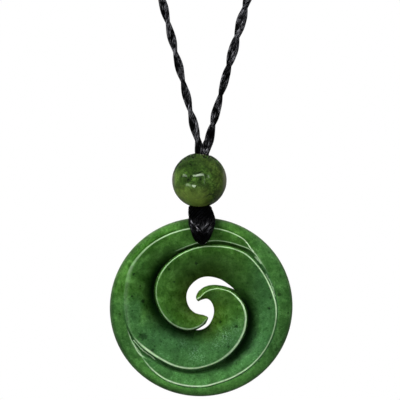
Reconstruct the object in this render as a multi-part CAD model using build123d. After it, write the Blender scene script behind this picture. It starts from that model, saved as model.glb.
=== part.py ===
from build123d import *
import math
import os

# Koru pendant on its neck cord. Millimetres, +Z up, +X to the wearer's left, front facing -Y.
# The origin is at the nape, on the face of the cord that lies against the neck.

# The carved disc.
disc_length = 40.2        # across the disc the widest way
disc_breadth = 39.2       # across it the narrowest way
long_way_turn = 78        # direction of the widest way, degrees clockwise from straight up
crest_rise = 2.9          # carved crests stand this far in front of the middle plane
back_depth = 2.6          # the plain back lies this far behind the middle plane
rim_rise = 0.9            # front of the rounded rim, in front of the middle plane
rim_roll = 1.5            # width of the roll that rounds the back edge of the rim

# The binding hole near the top of the disc, and the cord lashing through it.
lash_hole_d = 3.0
lash_hole_inset = 4.6     # from the top of the rim down to the centre of the hole
lash_width = 6.2          # widest place of the lashing, seen from the front
lash_wrap = 1.3           # thickness of the wound cord on the front and on the back
lash_rise = 2.1           # how far the lashing stands above the rim, up to the bead
lash_tip = 1.2            # how far the lashing's pointed end reaches below the hole's centre
lash_offset = 0.15        # the lashing sits this far to the right of the disc's middle

# The bead.
bead_d = 12.0
bead_offset = -0.6        # centre of the bead from the axis of its bore

# The neck cord: two thin strands twisted together on each side.
cord_d = 2.1              # outside diameter of the twisted pair
stem_d = 3.2              # both pairs pressed together inside the bead
cord_axis = 0.3           # the bead's bore and the fork are this far right of the disc's middle
fork_rise = 2.0           # from the top of the bead up to the first point of each leg

fork_width = 4.3          # both pairs side by side where they part
fork_overlap = 0.3        # the legs start this far below the top of the fork

gap = 0.12                # between pieces that touch on the real thing

# Middle line of the neck cord, from the fork up the left side, round the nape and down again.
# The legs hang straight under the pendant's weight, so their first runs are long.
hang_y = -108             # plane in which the pendant hangs
fork_z = -256.2
NECK_ROUTE = [
    (-0.8, hang_y, fork_z),
    (-7.7, hang_y, -228),
    (-21.8, -107.5, -174),
    (-36.5, -105.5, -121),
    (-49.5, -98, -72),
    (-57, -76, -35),
    (-56.5, -42, -13),
    (-40, -13, -3),
    (-14, 1.05, 0),
    (14, 1.05, 0),
    (40.5, -13, -3),
    (56.8, -42, -13),
    (57.5, -76, -35),
    (50.5, -98, -72),
    (38.3, -105.5, -121),
    (24, -107.5, -174),
    (9.2, hang_y, -228),
    (1.4, hang_y, fork_z),
]

# Heights of the pieces, each hung from the one above it.
bead_z = fork_z - fork_rise - bead_d / 2
lash_top_z = bead_z - bead_d / 2 - gap
rim_top_z = lash_top_z - lash_rise


def disc_radius(turn):
    """Radius of the slightly oval outline, in a direction given clockwise from straight up."""
    off = math.radians(turn - long_way_turn)
    return 0.5 / math.hypot(math.cos(off) / disc_length, math.sin(off) / disc_breadth)


disc_z = rim_top_z - disc_radius(0)
hole_z = rim_top_z - lash_hole_inset

# The carving. Two arms spiral out clockwise, each with a crest along its outer side, a wall
# that falls from the crest to a foot, and a lip where the next surface begins. Widths are
# hundredths of the disc's radius in that direction, heights hundredths of crest_rise.
ARM_COLUMNS = ("turn", "crest", "foot", "lip", "crest_h", "foot_h", "lip_h")
ARM_ONE = [
    (147, 14.3, 0.0, 0.0, 45, 38, 30),
    (150, 14.2, 0.7, 1.3, 55, 42, 30),
    (156, 14.8, 1.0, 2.0, 62, 45, 30),
    (165, 16.4, 1.4, 3.0, 70, 45, 30),
    (180, 20.5, 1.0, 2.1, 78, 50, 30),
    (195, 24.2, 1.6, 2.9, 83, 45, 30),
    (207, 26.6, 3.2, 5.4, 87, 34, 42),
    (219, 29.6, 3.6, 6.8, 90, 28, 46),
    (231, 32.9, 3.3, 8.6, 93, 22, 48),
    (243, 36.7, 3.0, 10.6, 95, 14, 46),
    (255, 40.8, 2.7, 12.4, 96, 6, 42),
    (270, 45.9, 2.7, 14.2, 97, 0, 38),
    (285, 51.5, 2.7, 14.3, 98, 0, 38),
    (300, 55.9, 2.8, 12.9, 100, 6, 46),
    (315, 59.3, 2.6, 9.7, 100, 22, 60),
    (330, 61.8, 2.5, 6.7, 100, 40, 74),
    (345, 64.5, 2.2, 4.8, 100, 54, 86),
    (360, 67.4, 2.6, 4.9, 100, 60, 92),
    (375, 70.1, 3.8, 6.2, 100, 62, 92),
    (390, 74.2, 3.3, 5.5, 98, 62, 90),
    (402, 76.4, 4.0, 6.8, 95, 62, 88),
    (414, 76.8, 2.5, 5.1, 94, 66, 88),
    (426, 77.6, 2.0, 4.1, 95, 72, 88),
    (438, 79.3, 1.7, 2.9, 96, 80, 90),
    (450, 81.9, 1.4, 2.1, 98, 85, 92),
    (465, 83.5, 1.1, 1.8, 100, 88, 93),
    (495, 85.5, 0.9, 1.6, 100, 88, 94),
    (525, 86.8, 0.9, 1.6, 100, 88, 94),
    (540, 89.0, 0.9, 1.6, 100, 88, 94),
    (564, 89.8, 0.8, 1.3, 98, 88, 92),
    (579, 87.7, 0.5, 0.9, 92, 86, 89),
    (591, 84.6, 0.0, 0.0, 86, 86, 86),
]
ARM_TWO = [
    (-33, 9.8, 0.0, 0.0, 45, 38, 30),
    (-30, 10.0, 0.9, 1.7, 50, 40, 30),
    (-24, 10.1, 1.7, 3.5, 56, 42, 30),
    (-15, 10.4, 2.9, 5.6, 62, 44, 30),
    (-6, 11.1, 3.7, 7.3, 68, 46, 30),
    (6, 14.1, 3.7, 7.4, 74, 48, 30),
    (18, 18.1, 3.2, 6.6, 79, 50, 30),
    (30, 22.6, 2.7, 5.4, 83, 52, 30),
    (45, 28.8, 2.0, 4.0, 87, 54, 30),
    (54, 32.4, 2.0, 4.0, 89, 50, 30),
    (63, 36.3, 2.6, 4.8, 91, 40, 30),
    (75, 41.0, 3.1, 7.7, 93, 26, 40),
    (87, 46.0, 2.8, 12.0, 95, 12, 44),
    (99, 49.8, 2.9, 14.1, 97, 2, 40),
    (114, 53.5, 2.8, 14.3, 98, 0, 38),
    (129, 56.6, 2.8, 12.0, 99, 8, 46),
    (144, 59.8, 2.7, 9.4, 100, 22, 58),
    (159, 63.1, 2.7, 8.1, 100, 38, 72),
    (174, 66.0, 2.8, 7.8, 100, 50, 84),
    (189, 69.5, 3.3, 7.3, 100, 58, 90),
    (204, 71.5, 3.2, 6.7, 100, 60, 90),
    (216, 72.5, 3.2, 6.3, 98, 60, 88),
    (225, 73.9, 3.9, 8.0, 96, 62, 87),
    (231, 75.4, 4.9, 9.2, 95, 64, 86),
    (240, 78.5, 2.9, 5.8, 95, 72, 86),
    (249, 81.2, 1.5, 2.7, 95, 82, 88),
    (258, 82.9, 0.7, 1.2, 95, 88, 90),
    (270, 84.1, 0.7, 1.0, 96, 90, 92),
    (285, 86.8, 0.7, 1.1, 97, 90, 93),
    (300, 90.0, 0.8, 1.4, 98, 90, 94),
    (315, 89.7, 0.8, 1.5, 98, 89, 94),
    (345, 89.0, 0.9, 1.6, 98, 88, 94),
    (375, 89.5, 0.8, 1.4, 97, 88, 93),
    (390, 89.1, 0.6, 1.0, 95, 88, 91),
    (396, 87.3, 0.3, 0.6, 92, 88, 89),
    (402, 83.2, 0.0, 0.0, 88, 88, 88),
]

# Edges of the S-shaped hole on the inner side of each arm: turn, and hundredths of the radius.
HOLE_COLUMNS = ("turn", "edge")
HOLE_ONE = [
    (147, 14.3), (150, 12.5), (156, 11.2), (168, 9.4), (186, 8.8), (204, 8.8), (222, 9.5),
    (240, 10.4), (255, 11.8), (270, 13.5), (288, 16.4), (306, 20.2), (321, 23.8), (336, 27.2),
    (348, 30.0), (360, 32.7), (372, 34.6), (384, 35.9), (396, 37.3), (408, 38.5), (423, 41.1),
]
HOLE_TWO = [
    (-33, 9.8), (-30, 7.8), (-24, 6.8), (-9, 7.3), (3, 7.9), (20, 9.2), (36, 11.0),
    (54, 12.0), (71, 12.5), (91, 13.5), (108, 14.9), (127, 16.9), (144, 19.5), (159, 22.5),
    (170, 24.4), (181, 25.8), (195, 27.1),
]
hole_edge_h = 30          # height of the hole's edge, hundredths of crest_rise
swell = 2.0               # how fast an arm's top rounds up from its inner edge to its crest
ray_step = 3              # degrees between the rays that carry the surface
TOP_SHARES = (0.07, 0.18, 0.36, 0.6, 0.82)     # places across an arm's top between its edges

# The rim, from the outermost lip to the back: share of the way out, and height as a share of
# the way from the lip's height down to rim_rise.
RIM_COLUMNS = ("out", "drop")
RIM_FRONT = [(0.3, 0.1), (0.6, 0.28), (0.82, 0.52), (0.95, 0.8)]

FULL_TURN = 360


def follow(columns, table, name, turn):
    """Value of a column at a turn, on a smooth line through the rows that adds no bumps."""
    rows = [(row[0], row[columns.index(name)]) for row in table]
    slopes = [(v1 - v0) / (t1 - t0) for (t0, v0), (t1, v1) in zip(rows, rows[1:])]
    tangents = [slopes[0]]
    for before, after in zip(slopes, slopes[1:]):
        same_way = before * after > 0
        tangents.append(2 * before * after / (before + after) if same_way else 0)
    tangents.append(slopes[-1])
    for i, ((t0, v0), (t1, v1)) in enumerate(zip(rows, rows[1:])):
        if turn <= t1:
            break
    span = t1 - t0
    u = (turn - t0) / span
    return (
        v0 * (1 + 2 * u) * (1 - u) ** 2
        + tangents[i] * span * u * (1 - u) ** 2
        + v1 * u * u * (3 - 2 * u)
        + tangents[i + 1] * span * u * u * (u - 1)
    )


def surface_point(turn, share, height_share):
    """A point of the carved front: its direction, hundredths out, hundredths of the crest."""
    radius = disc_radius(turn) * share / 100
    angle = math.radians(turn)
    height = crest_rise * height_share / 100
    return (radius * math.sin(angle), hang_y - height, disc_z + radius * math.cos(angle))


def lip(arm, turn):
    """Share and height of an arm's outer lip."""
    crest, width, height = (follow(ARM_COLUMNS, arm, n, turn) for n in ("crest", "lip", "lip_h"))
    return crest + width, height


class Arm:
    """One spiral arm: its table, the hole's edge inside it, and the arm it lies against."""

    def __init__(self, table, hole, offset):
        self.table = table
        self.hole = hole
        self.offset = offset          # turn of the other arm's lip at the same place
        self.start = table[0][0]
        self.end = table[-1][0]
        self.hole_end = hole[-1][0]

    def inner(self, turn):
        """Share and height of the arm's inner edge: the hole's edge, then the other's lip."""
        if turn < self.hole_end:
            return follow(HOLE_COLUMNS, self.hole, "edge", turn), hole_edge_h
        return lip(self.other.table, turn - self.offset)

    def across(self, turn):
        """Points across the arm at one turn, from its inner edge over the crest to its lip."""
        low, low_h = self.inner(turn)
        if turn == self.start:
            return [surface_point(turn, low, hole_edge_h)] * (len(TOP_SHARES) + 4)
        if turn == self.end:
            return [surface_point(turn, low, low_h)] * (len(TOP_SHARES) + 4)
        crest, foot, crest_h, foot_h = (
            follow(ARM_COLUMNS, self.table, n, turn) for n in ("crest", "foot", "crest_h", "foot_h")
        )
        points = [surface_point(turn, low, low_h)]
        for u in TOP_SHARES:
            height = low_h + (crest_h - low_h) * (1 - (1 - u) ** swell)
            points.append(surface_point(turn, low + (crest - low) * u, height))
        points.append(surface_point(turn, crest, crest_h))
        points.append(surface_point(turn, crest + foot, foot_h))
        points.append(surface_point(turn, *lip(self.table, turn)))
        return points


arm_one = Arm(ARM_ONE, HOLE_ONE, FULL_TURN)
arm_two = Arm(ARM_TWO, HOLE_TWO, 0)
arm_one.other = arm_two
arm_two.other = arm_one


def on_back(point):
    """The point of the plain back straight behind a point of the front."""
    return (point[0], hang_y + back_depth, point[2])


def strip(left, right):
    """Triangles between two lines of points with as many points each."""
    made = []
    for a, b, c, d in zip(left, left[1:], right[1:], right):
        made += [(a, b, c), (a, c, d)]
    return made


def arm_triangles(arm):
    """The arm's carved top, the plain back behind it and the hole's wall beside it."""
    made = []
    turns = range(arm.start, arm.end + 1, ray_step)
    rays = [arm.across(turn) for turn in turns]
    for turn, left, right in zip(turns, rays, rays[1:]):
        made += strip(left, right)
        made += strip([on_back(left[-1]), on_back(left[0])], [on_back(right[-1]), on_back(right[0])])
        if turn < arm.hole_end:
            made += strip([on_back(left[0]), left[0]], [on_back(right[0]), right[0]])
        if turn < arm.other.hole_end - arm.other.offset:
            made += strip([left[-1], on_back(left[-1])], [right[-1], on_back(right[-1])])
    return made


def rim_ray(arm, turn):
    """Points from the outermost lip over the rim and round to the back."""
    share, height = arm.inner(turn) if turn == arm.end else lip(arm.table, turn)
    edge_h = 100 * rim_rise / crest_rise
    points = [surface_point(turn, share, height)]
    for out, drop in RIM_FRONT:
        points.append(
            surface_point(turn, share + (100 - share) * out, height + (edge_h - height) * drop)
        )
    points.append(surface_point(turn, 100, edge_h))
    radius = disc_radius(turn)
    x, z = math.sin(math.radians(turn)), math.cos(math.radians(turn))
    for inward, depth in ((0, 0), (0, -0.45), (0.12, -0.75), (0.45, -0.94), (1, -1)):
        r = radius - rim_roll * inward
        points.append((r * x, hang_y - back_depth * depth, disc_z + r * z))
    points.append(on_back(points[0]))
    return points


def rim_triangles():
    """The band outside the outermost lip, front, edge and back."""
    made = []
    stretches = (
        (arm_one, arm_two.end, arm_one.end),
        (arm_two, arm_one.end - FULL_TURN, arm_two.end),
    )
    for arm, start, end in stretches:
        rays = [rim_ray(arm, turn) for turn in range(start, end + 1, ray_step)]
        for left, right in zip(rays, rays[1:]):
            made += strip(left, right)
    return made


def solid_of(triangles):
    """A closed solid from triangles that share their corners."""
    faces = []
    for triangle in triangles:
        corners = [tuple(round(v, 4) for v in corner) for corner in triangle]
        if len(set(corners)) == 3:
            a, b, c = (Vector(corner) for corner in corners)
            if (b - a).cross(c - a).length > 1e-6:
                faces.append(Face(Wire.make_polygon(corners)))
    return Solid(Shell(faces))


def make_disc():
    carved = solid_of(arm_triangles(arm_one) + arm_triangles(arm_two) + rim_triangles())
    drill = Cylinder(lash_hole_d / 2, 4 * (crest_rise + back_depth), rotation=(90, 0, 0))
    return carved - Pos(lash_offset, hang_y, hole_z) * drill


# Sections of the lashing: share of its height above the tip, and its width as a share of
# lash_width. wrap is the share of lash_wrap that lies over the front and the back there.
LASH_COLUMNS = ("level", "width", "wrap")
LASH_SECTIONS = [
    (0.0, 0.14, 0.35),
    (0.13, 0.5, 0.65),
    (0.33, 0.78, 0.9),
    (0.48, 0.92, 1.0),
    (0.68, 1.0, 0.95),
    (0.86, 0.92, 0.2),
    (1.0, 0.78, -0.35),
]


def make_lashing():
    """The wound cord: a drop that straddles the rim, with the turns through the hole."""
    tip_z = hole_z - lash_tip
    thick = crest_rise + back_depth
    middle_y = hang_y + (back_depth - crest_rise) / 2
    sections = []
    for level, width, wrap in LASH_SECTIONS:
        wide = lash_width * width
        deep = thick + 2 * lash_wrap * wrap
        z = tip_z + (lash_top_z - tip_z) * level
        corner = 0.45 * min(wide, deep)
        sections.append(Plane((lash_offset, middle_y, z)) * RectangleRounded(wide, deep, corner))
    drop = loft(sections)
    slot_top = rim_top_z + gap
    slot = Box(
        2 * lash_width, thick + 2 * gap, 2 * disc_length, align=(Align.CENTER, Align.CENTER, Align.MAX)
    )
    through = Cylinder(lash_hole_d / 2 - gap, thick + lash_wrap, rotation=(90, 0, 0))
    drop -= Pos(lash_offset, middle_y, slot_top) * slot
    return drop + Pos(lash_offset, middle_y, hole_z) * through


def make_bead():
    bore = Cylinder(stem_d / 2 + gap, 2 * bead_d)
    ball = Pos(bead_offset, 0, 0) * Sphere(bead_d / 2)
    return Pos(cord_axis, hang_y, bead_z) * (ball - bore)


def corner_radii(route):
    """The arc at each corner of the route: as large as its two runs allow."""
    points = [Vector(p) for p in route]
    radii = []
    for before, corner, after in zip(points, points[1:], points[2:]):
        shorter = min((corner - before).length, (after - corner).length)
        turn = (corner - before).get_angle(after - corner)
        radii.append(0.45 * shorter / math.tan(math.radians(turn / 2)))
    return radii


def make_neck_cord():
    """The loop of cord, and the stem where both of its ends pass down through the bead."""
    radii = corner_radii(NECK_ROUTE)
    print("cord arc radii, mm:", [round(r, 1) for r in radii])
    path = FilletPolyline(NECK_ROUTE, radius=radii)
    tube = sweep(Plane(path @ 0, z_dir=path % 0) * Circle(cord_d / 2), path=path)
    section = math.pi * cord_d**2 / 4
    print("cord length, mm:", round(path.length, 1))
    print("tube volume over section times length:", round(tube.volume / (section * path.length), 4))
    stem_bottom = lash_top_z + gap
    bead_top = bead_z + bead_d / 2
    stem = Cylinder(
        stem_d / 2, bead_top - stem_bottom, align=(Align.CENTER, Align.CENTER, Align.MIN)
    )
    stem = Pos(cord_axis, hang_y, stem_bottom) * stem
    fork_top = Pos(cord_axis, hang_y, fork_z + fork_overlap) * Ellipse(fork_width / 2, cord_d / 2)
    fork = loft([Pos(cord_axis, hang_y, bead_top) * Ellipse(stem_d / 2, stem_d / 2), fork_top])
    return stem + fork + tube


PIECES = {
    "koru_disc": make_disc,
    "lashing": make_lashing,
    "bead": make_bead,
    "neck_cord": make_neck_cord,
}

os.makedirs("parts", exist_ok=True)
for name, make in PIECES.items():
    piece = make()
    print(name, "volume, mm3:", round(piece.volume, 1))
    export_step(piece, f"parts/{name}.step")
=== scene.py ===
"""Koru pendant on its neck cord: a carved green stone disc, a cord lashing, a stone bead and a
twisted black cord, hung as it is worn. Lengths in the tables are millimetres."""

import math
import random

import bmesh
import bpy
from mathutils import Matrix, Quaternion, Vector, noise


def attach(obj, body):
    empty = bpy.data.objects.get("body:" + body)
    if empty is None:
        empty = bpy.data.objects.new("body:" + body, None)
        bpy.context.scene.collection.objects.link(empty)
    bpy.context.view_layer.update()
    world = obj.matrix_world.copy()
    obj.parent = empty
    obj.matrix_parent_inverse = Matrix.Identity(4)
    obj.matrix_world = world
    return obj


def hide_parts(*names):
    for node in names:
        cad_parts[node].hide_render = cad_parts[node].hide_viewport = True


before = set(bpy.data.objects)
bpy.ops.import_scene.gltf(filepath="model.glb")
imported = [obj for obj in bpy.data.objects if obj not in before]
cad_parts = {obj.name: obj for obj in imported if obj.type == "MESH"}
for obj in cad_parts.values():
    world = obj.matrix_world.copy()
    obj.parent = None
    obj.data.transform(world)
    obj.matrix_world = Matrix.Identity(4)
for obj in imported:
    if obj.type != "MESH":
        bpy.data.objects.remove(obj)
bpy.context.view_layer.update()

MM = 0.001
FULL_TURN = 360

# Sizes of the pendant, the same as the solids'.
disc_length = 40.2
disc_breadth = 39.2
long_way_turn = 78
crest_rise = 2.9
back_depth = 2.6
rim_rise = 0.9
rim_roll = 1.5
lash_hole_inset = 4.6
lash_width = 6.2
lash_rise = 2.1
lash_tip = 1.2
lash_offset = 0.15
bead_d = 12.0
bead_offset = -0.6
cord_axis = 0.3
stem_d = 3.2
fork_rise = 2.0
gap = 0.12
hang_y = -108
fork_z = -256.2

bead_z = fork_z - fork_rise - bead_d / 2
lash_top_z = bead_z - bead_d / 2 - gap
rim_top_z = lash_top_z - lash_rise


def point(x, y, z):
    """A point given in millimetres."""
    return Vector((x, y, z)) * MM


def disc_radius(turn):
    """Radius of the slightly oval outline, in a direction given clockwise from straight up."""
    off = math.radians(turn - long_way_turn)
    return 0.5 / math.hypot(math.cos(off) / disc_length, math.sin(off) / disc_breadth)


disc_z = rim_top_z - disc_radius(0)
hole_z = rim_top_z - lash_hole_inset
stone_half = (crest_rise + back_depth) / 2
stone_middle_y = hang_y + (back_depth - crest_rise) / 2

# The camera stands straight in front of the pendant, far enough away to keep it flat.
camera_aim = (-0.26, hang_y, -268.55)
camera_distance = 900
view_width = 87.96        # width that the picture covers at the pendant
sensor_width = 36

camera_data = bpy.data.cameras.new("camera")
camera_data.sensor_width = sensor_width
camera_data.lens = sensor_width * camera_distance / view_width
camera_data.clip_start = 0.01
camera_data.clip_end = 20
camera = bpy.data.objects.new("camera", camera_data)
camera.location = point(camera_aim[0], camera_aim[1] - camera_distance, camera_aim[2])
camera.rotation_euler = (math.radians(90), 0, 0)
bpy.context.scene.collection.objects.link(camera)
bpy.context.scene.camera = camera


class Nodes:
    """A short way to add and link the nodes of one material or world."""

    def __init__(self, tree):
        self.tree = tree
        tree.nodes.clear()

    def add(self, kind, **settings):
        made = self.tree.nodes.new("ShaderNode" + kind)
        for name, value in settings.items():
            setattr(made, name, value)
        return made

    def feed(self, socket, value):
        """Links an output into a socket, or sets the socket to a plain value."""
        if isinstance(value, bpy.types.NodeSocket):
            self.tree.links.new(value, socket)
        else:
            socket.default_value = value

    def position(self):
        return self.add("TexCoord").outputs["Object"]

    def noise(self, vector, scale, detail=3.0, rough=0.5, warp=0.0):
        made = self.add("TexNoise")
        self.feed(made.inputs["Vector"], vector)
        made.inputs["Scale"].default_value = scale
        made.inputs["Detail"].default_value = detail
        made.inputs["Roughness"].default_value = rough
        made.inputs["Distortion"].default_value = warp
        return made.outputs["Fac"]

    def ramp(self, value, low, high, out_low=0.0, out_high=1.0):
        made = self.add("MapRange", clamp=True)
        for socket, number in zip(made.inputs, (value, low, high, out_low, out_high)):
            self.feed(socket, number)
        return made.outputs[0]

    def math(self, operation, first, second=0.0):
        made = self.add("Math", operation=operation)
        self.feed(made.inputs[0], first)
        self.feed(made.inputs[1], second)
        return made.outputs[0]

    def vector(self, operation, first, second=None, scale=None, output="Vector"):
        made = self.add("VectorMath", operation=operation)
        self.feed(made.inputs[0], first)
        if second is not None:
            self.feed(made.inputs[1], second)
        if scale is not None:
            self.feed(made.inputs["Scale"], scale)
        return made.outputs[output]

    def mix(self, share, first, second, blend="MIX"):
        made = self.add("Mix", data_type="RGBA", blend_type=blend, clamp_factor=True)
        self.feed(made.inputs["Factor"], share)
        self.feed(made.inputs[6], first)
        self.feed(made.inputs[7], second)
        return made.outputs[2]

    def attribute(self, name, output="Fac"):
        return self.add("Attribute", attribute_name=name).outputs[output]

    def bump(self, height, strength, distance):
        made = self.add("Bump")
        made.inputs["Strength"].default_value = strength
        made.inputs["Distance"].default_value = distance
        self.feed(made.inputs["Height"], height)
        return made.outputs[0]

    def surface(self, **inputs):
        shader = self.add("BsdfPrincipled")
        out = self.add("OutputMaterial")
        for name, value in inputs.items():
            self.feed(shader.inputs[name.replace("_", " ")], value)
        self.tree.links.new(shader.outputs[0], out.inputs[0])
        return shader


def new_material(name):
    material = bpy.data.materials.new(name)
    material.use_nodes = True
    return material, Nodes(material.node_tree)


def rgb(*parts):
    return (*parts, 1.0)


def scaled_noise(nodes, where, per_mm, **settings):
    return nodes.noise(where, per_mm / MM, **settings)


def stirred(n, where, per_mm, reach, detail):
    """A place moved about by a soft noise, at most by a reach in millimetres."""
    swirl = n.add("TexNoise")
    n.feed(swirl.inputs["Vector"], where)
    swirl.inputs["Scale"].default_value = per_mm / MM
    swirl.inputs["Detail"].default_value = detail
    shift = n.vector("SCALE", swirl.outputs["Color"], scale=reach * MM)
    return n.vector("ADD", where, shift)


def seen_from(n, where, across, up):
    """The way to a place from a point of the front, in millimetres, with the depth left out."""
    away = n.vector("SUBTRACT", where, point(across, 0, up))
    return n.vector("MULTIPLY", away, (1, 0, 1))


def marks_shade(n, where, middle, marks):
    """How dark small marks make a place: each is across, up, radius and strength, in millimetres."""
    rough_edge = n.ramp(scaled_noise(n, where, 2.2, detail=2.0), 0.3, 0.7, 0.6, 1.6)
    most = 0.0
    for across, up, radius, strength in marks:
        away = seen_from(n, where, middle[0] + across, middle[1] + up)
        reach = n.math("MULTIPLY", n.vector("LENGTH", away, output="Value"), rough_edge)
        dark = n.ramp(reach, 0.5 * radius * MM, 1.2 * radius * MM, strength, 0.0)
        most = n.math("MAXIMUM", most, dark)
    return most


def crack_shade(n, where, middle, cracks):
    """How dark straight hair cracks make a place: each goes from a point to another."""
    stir = 0.5
    moved = stirred(n, where, 1.3, stir, 2.0)
    most = 0.0
    for across, up, far_across, far_up, radius, strength in cracks:
        run = point(far_across - across, 0, far_up - up)
        away = seen_from(n, moved, middle[0] + across + stir / 2, middle[1] + up + stir / 2)
        share = n.vector("DOT_PRODUCT", away, run / run.length_squared, output="Value")
        nearest = n.vector("SCALE", run, scale=n.ramp(share, 0.0, 1.0))
        length = n.vector("DISTANCE", away, nearest, output="Value")
        dark = n.ramp(length, 0.3 * radius * MM, 1.3 * radius * MM, strength, 0.0)
        most = n.math("MAXIMUM", most, dark)
    return most


def vein_shade(n, where):
    """Thin wandering dark veins, here and there."""
    cells = n.add("TexVoronoi", feature="DISTANCE_TO_EDGE")
    n.feed(cells.inputs["Vector"], stirred(n, where, 0.35, 2.6, 3.0))
    cells.inputs["Scale"].default_value = 0.5 / MM
    lines = n.ramp(cells.outputs["Distance"], 0.0, 0.07, 1.0, 0.0)
    some = n.ramp(scaled_noise(n, where, 0.4, detail=2.0), 0.42, 0.6)
    return n.math("MULTIPLY", lines, some)


def stone_material(
    name, colours, warm_share, depth_share, coat, roughness, middle, marks, cracks,
    glint_streaks=(), veins=0.0, uneven=0.25, ior=1.25, contrast=1.0,
):
    """Polished nephrite: cloudy greens, dark flecks, light inside, painted highlight and wear on crests,
    painted glow and shade.
    """
    material, n = new_material(name)
    where = n.position()
    clouds = scaled_noise(n, where, 0.11, detail=4.0, warp=0.6)
    mottle = scaled_noise(n, where, 0.5, detail=6.0, rough=0.62, warp=0.5)
    grain = scaled_noise(n, where, 1.7, detail=4.0, rough=0.7)
    fine = scaled_noise(n, where, 4.2, detail=2.0, rough=0.6)

    def tinted(colour, share, tone):
        return n.mix(share, colour, rgb(*colours[tone]))

    colour = tinted(rgb(*colours["deep"]), n.ramp(clouds, 0.38, 0.62), "main")
    colour = tinted(colour, n.ramp(mottle, 0.44, 0.7, 0.0, 0.8), "light")
    colour = tinted(colour, n.math("MULTIPLY", n.attribute("cool"), 0.8), "cool")
    colour = tinted(colour, n.math("MULTIPLY", n.attribute("warm"), warm_share), "warm")
    # Painted glow, as if light came through the stone.
    colour = tinted(colour, n.attribute("thin"), "thin")
    for texture, low, high in ((mottle, 0.72, 1.28), (grain, 0.76, 1.24), (fine, 0.82, 1.16)):
        factor = n.ramp(texture, 0.33, 0.67, 1 + (low - 1) * contrast, 1 + (high - 1) * contrast)
        grey = n.add("CombineXYZ")
        for socket in grey.inputs:
            n.feed(socket, factor)
        colour = n.mix(1.0, colour, grey.outputs[0], blend="MULTIPLY")
    frost = n.math("MULTIPLY", n.ramp(fine, 0.58, 0.72), n.ramp(mottle, 0.46, 0.6, 0.0, 0.35))
    frost = n.math("MULTIPLY", frost, n.attribute("cool"))
    # Speckles where the frost-and-sheen patches lie: partly the stone's frost, partly painted sheen.
    speckle = n.math("MULTIPLY", n.ramp(fine, 0.52, 0.64), n.attribute("frost"))
    colour = tinted(colour, n.math("MAXIMUM", frost, speckle), "frost")
    # Painted shade, where the deep field asks for it.
    colour = tinted(colour, n.math("MULTIPLY", n.attribute("deep"), depth_share), "dark")
    flecks = n.add("TexVoronoi", feature="F1")
    n.feed(flecks.inputs["Vector"], where)
    flecks.inputs["Scale"].default_value = 0.6 / MM
    flecks.inputs["Randomness"].default_value = 1.0
    rare = n.ramp(scaled_noise(n, where, 0.45, detail=1.0), 0.55, 0.64)
    spot = n.math("MULTIPLY", n.ramp(flecks.outputs["Distance"], 0.06, 0.17, 0.75, 0.0), rare)
    spot = n.math("MAXIMUM", spot, marks_shade(n, where, middle, marks))
    spot = n.math("MAXIMUM", spot, crack_shade(n, where, middle, cracks))
    colour = tinted(colour, spot, "dark")
    if veins:
        colour = tinted(colour, n.math("MULTIPLY", vein_shade(n, where), veins), "dark")
    colour = tinted(colour, n.attribute("spot"), "dark")
    # Painted shade along the disc's rim border; painted sheen on the bead's outline and the pale edges
    # of its chips.
    colour = tinted(colour, n.attribute("edge"), "edge")
    # Painted highlight along the crests and lips, partly wear, and painted light on the bead's bottom,
    # broken up by a noise.
    line_patchiness = n.ramp(scaled_noise(n, where, 1.1, detail=3.0), 0.32, 0.56, 0.72, 1.0)
    colour = tinted(colour, n.math("MULTIPLY", n.attribute("ridge"), line_patchiness), "ridge")
    if glint_streaks:
        # The painted highlight streaks lie on the front only.
        depth = n.add("SeparateXYZ")
        n.feed(depth.inputs[0], where)
        front = n.ramp(depth.outputs["Y"], (hang_y - 0.5) * MM, hang_y * MM, 1.0, 0.0)
        # crack_shade gives here the mask of the painted highlight streaks.
        pale = n.math("MULTIPLY", crack_shade(n, where, middle, glint_streaks), front)
        colour = tinted(colour, pale, "ridge")
    rough = n.ramp(grain, 0.3, 0.7, roughness - 0.06, roughness + 0.08)
    height = n.bump(scaled_noise(n, where, 0.9, detail=4.0, rough=0.6), uneven, 0.1 * MM)
    n.surface(
        Base_Color=colour,
        Roughness=rough,
        Normal=height,
        IOR=ior,
        Subsurface_Weight=0.2,
        Subsurface_Radius=(0.5, 1.0, 0.35),
        Subsurface_Scale=1.2 * MM,
        Coat_Weight=coat,
        Coat_Roughness=0.05,
    )
    return material


DISC_COLOURS = {
    "deep": (0.026, 0.098, 0.010),
    "main": (0.048, 0.150, 0.021),
    "light": (0.078, 0.195, 0.042),
    "cool": (0.038, 0.122, 0.041),
    "warm": (0.060, 0.095, 0.004),
    # pale frost of the stone, and the painted sheen of the speckle patches
    "frost": (0.260, 0.480, 0.290),
    # near-black of flecks, marks and cracks, and of the painted shade
    "dark": (0.001, 0.008, 0.001),
    # greyer painted shade along the border of the rim
    "edge": (0.055, 0.075, 0.045),
    # painted highlight of the crest and lip lines, partly wear
    "ridge": (0.72, 1.0, 0.62),
    # painted glow, as if light came through the stone
    "thin": (0.110, 0.330, 0.066),
}
BEAD_COLOURS = {
    "deep": (0.013, 0.036, 0.004),
    "main": (0.028, 0.060, 0.008),
    "light": (0.052, 0.092, 0.018),
    "cool": (0.024, 0.058, 0.007),
    # browner, paler stone, partly painted light on the right and below
    "warm": (0.060, 0.090, 0.012),
    "frost": (0.070, 0.120, 0.040),
    # near-black of marks, cracks, veins and chips, and of the painted shade
    "dark": (0.002, 0.005, 0.001),
    # painted sheen along the ball's left and right outline, also the pale edges of chips
    "edge": (0.140, 0.140, 0.095),
    # painted light that makes the bottom of the bead paler
    "ridge": (0.24, 0.34, 0.07),
    "thin": (0.052, 0.092, 0.018),
}
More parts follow.
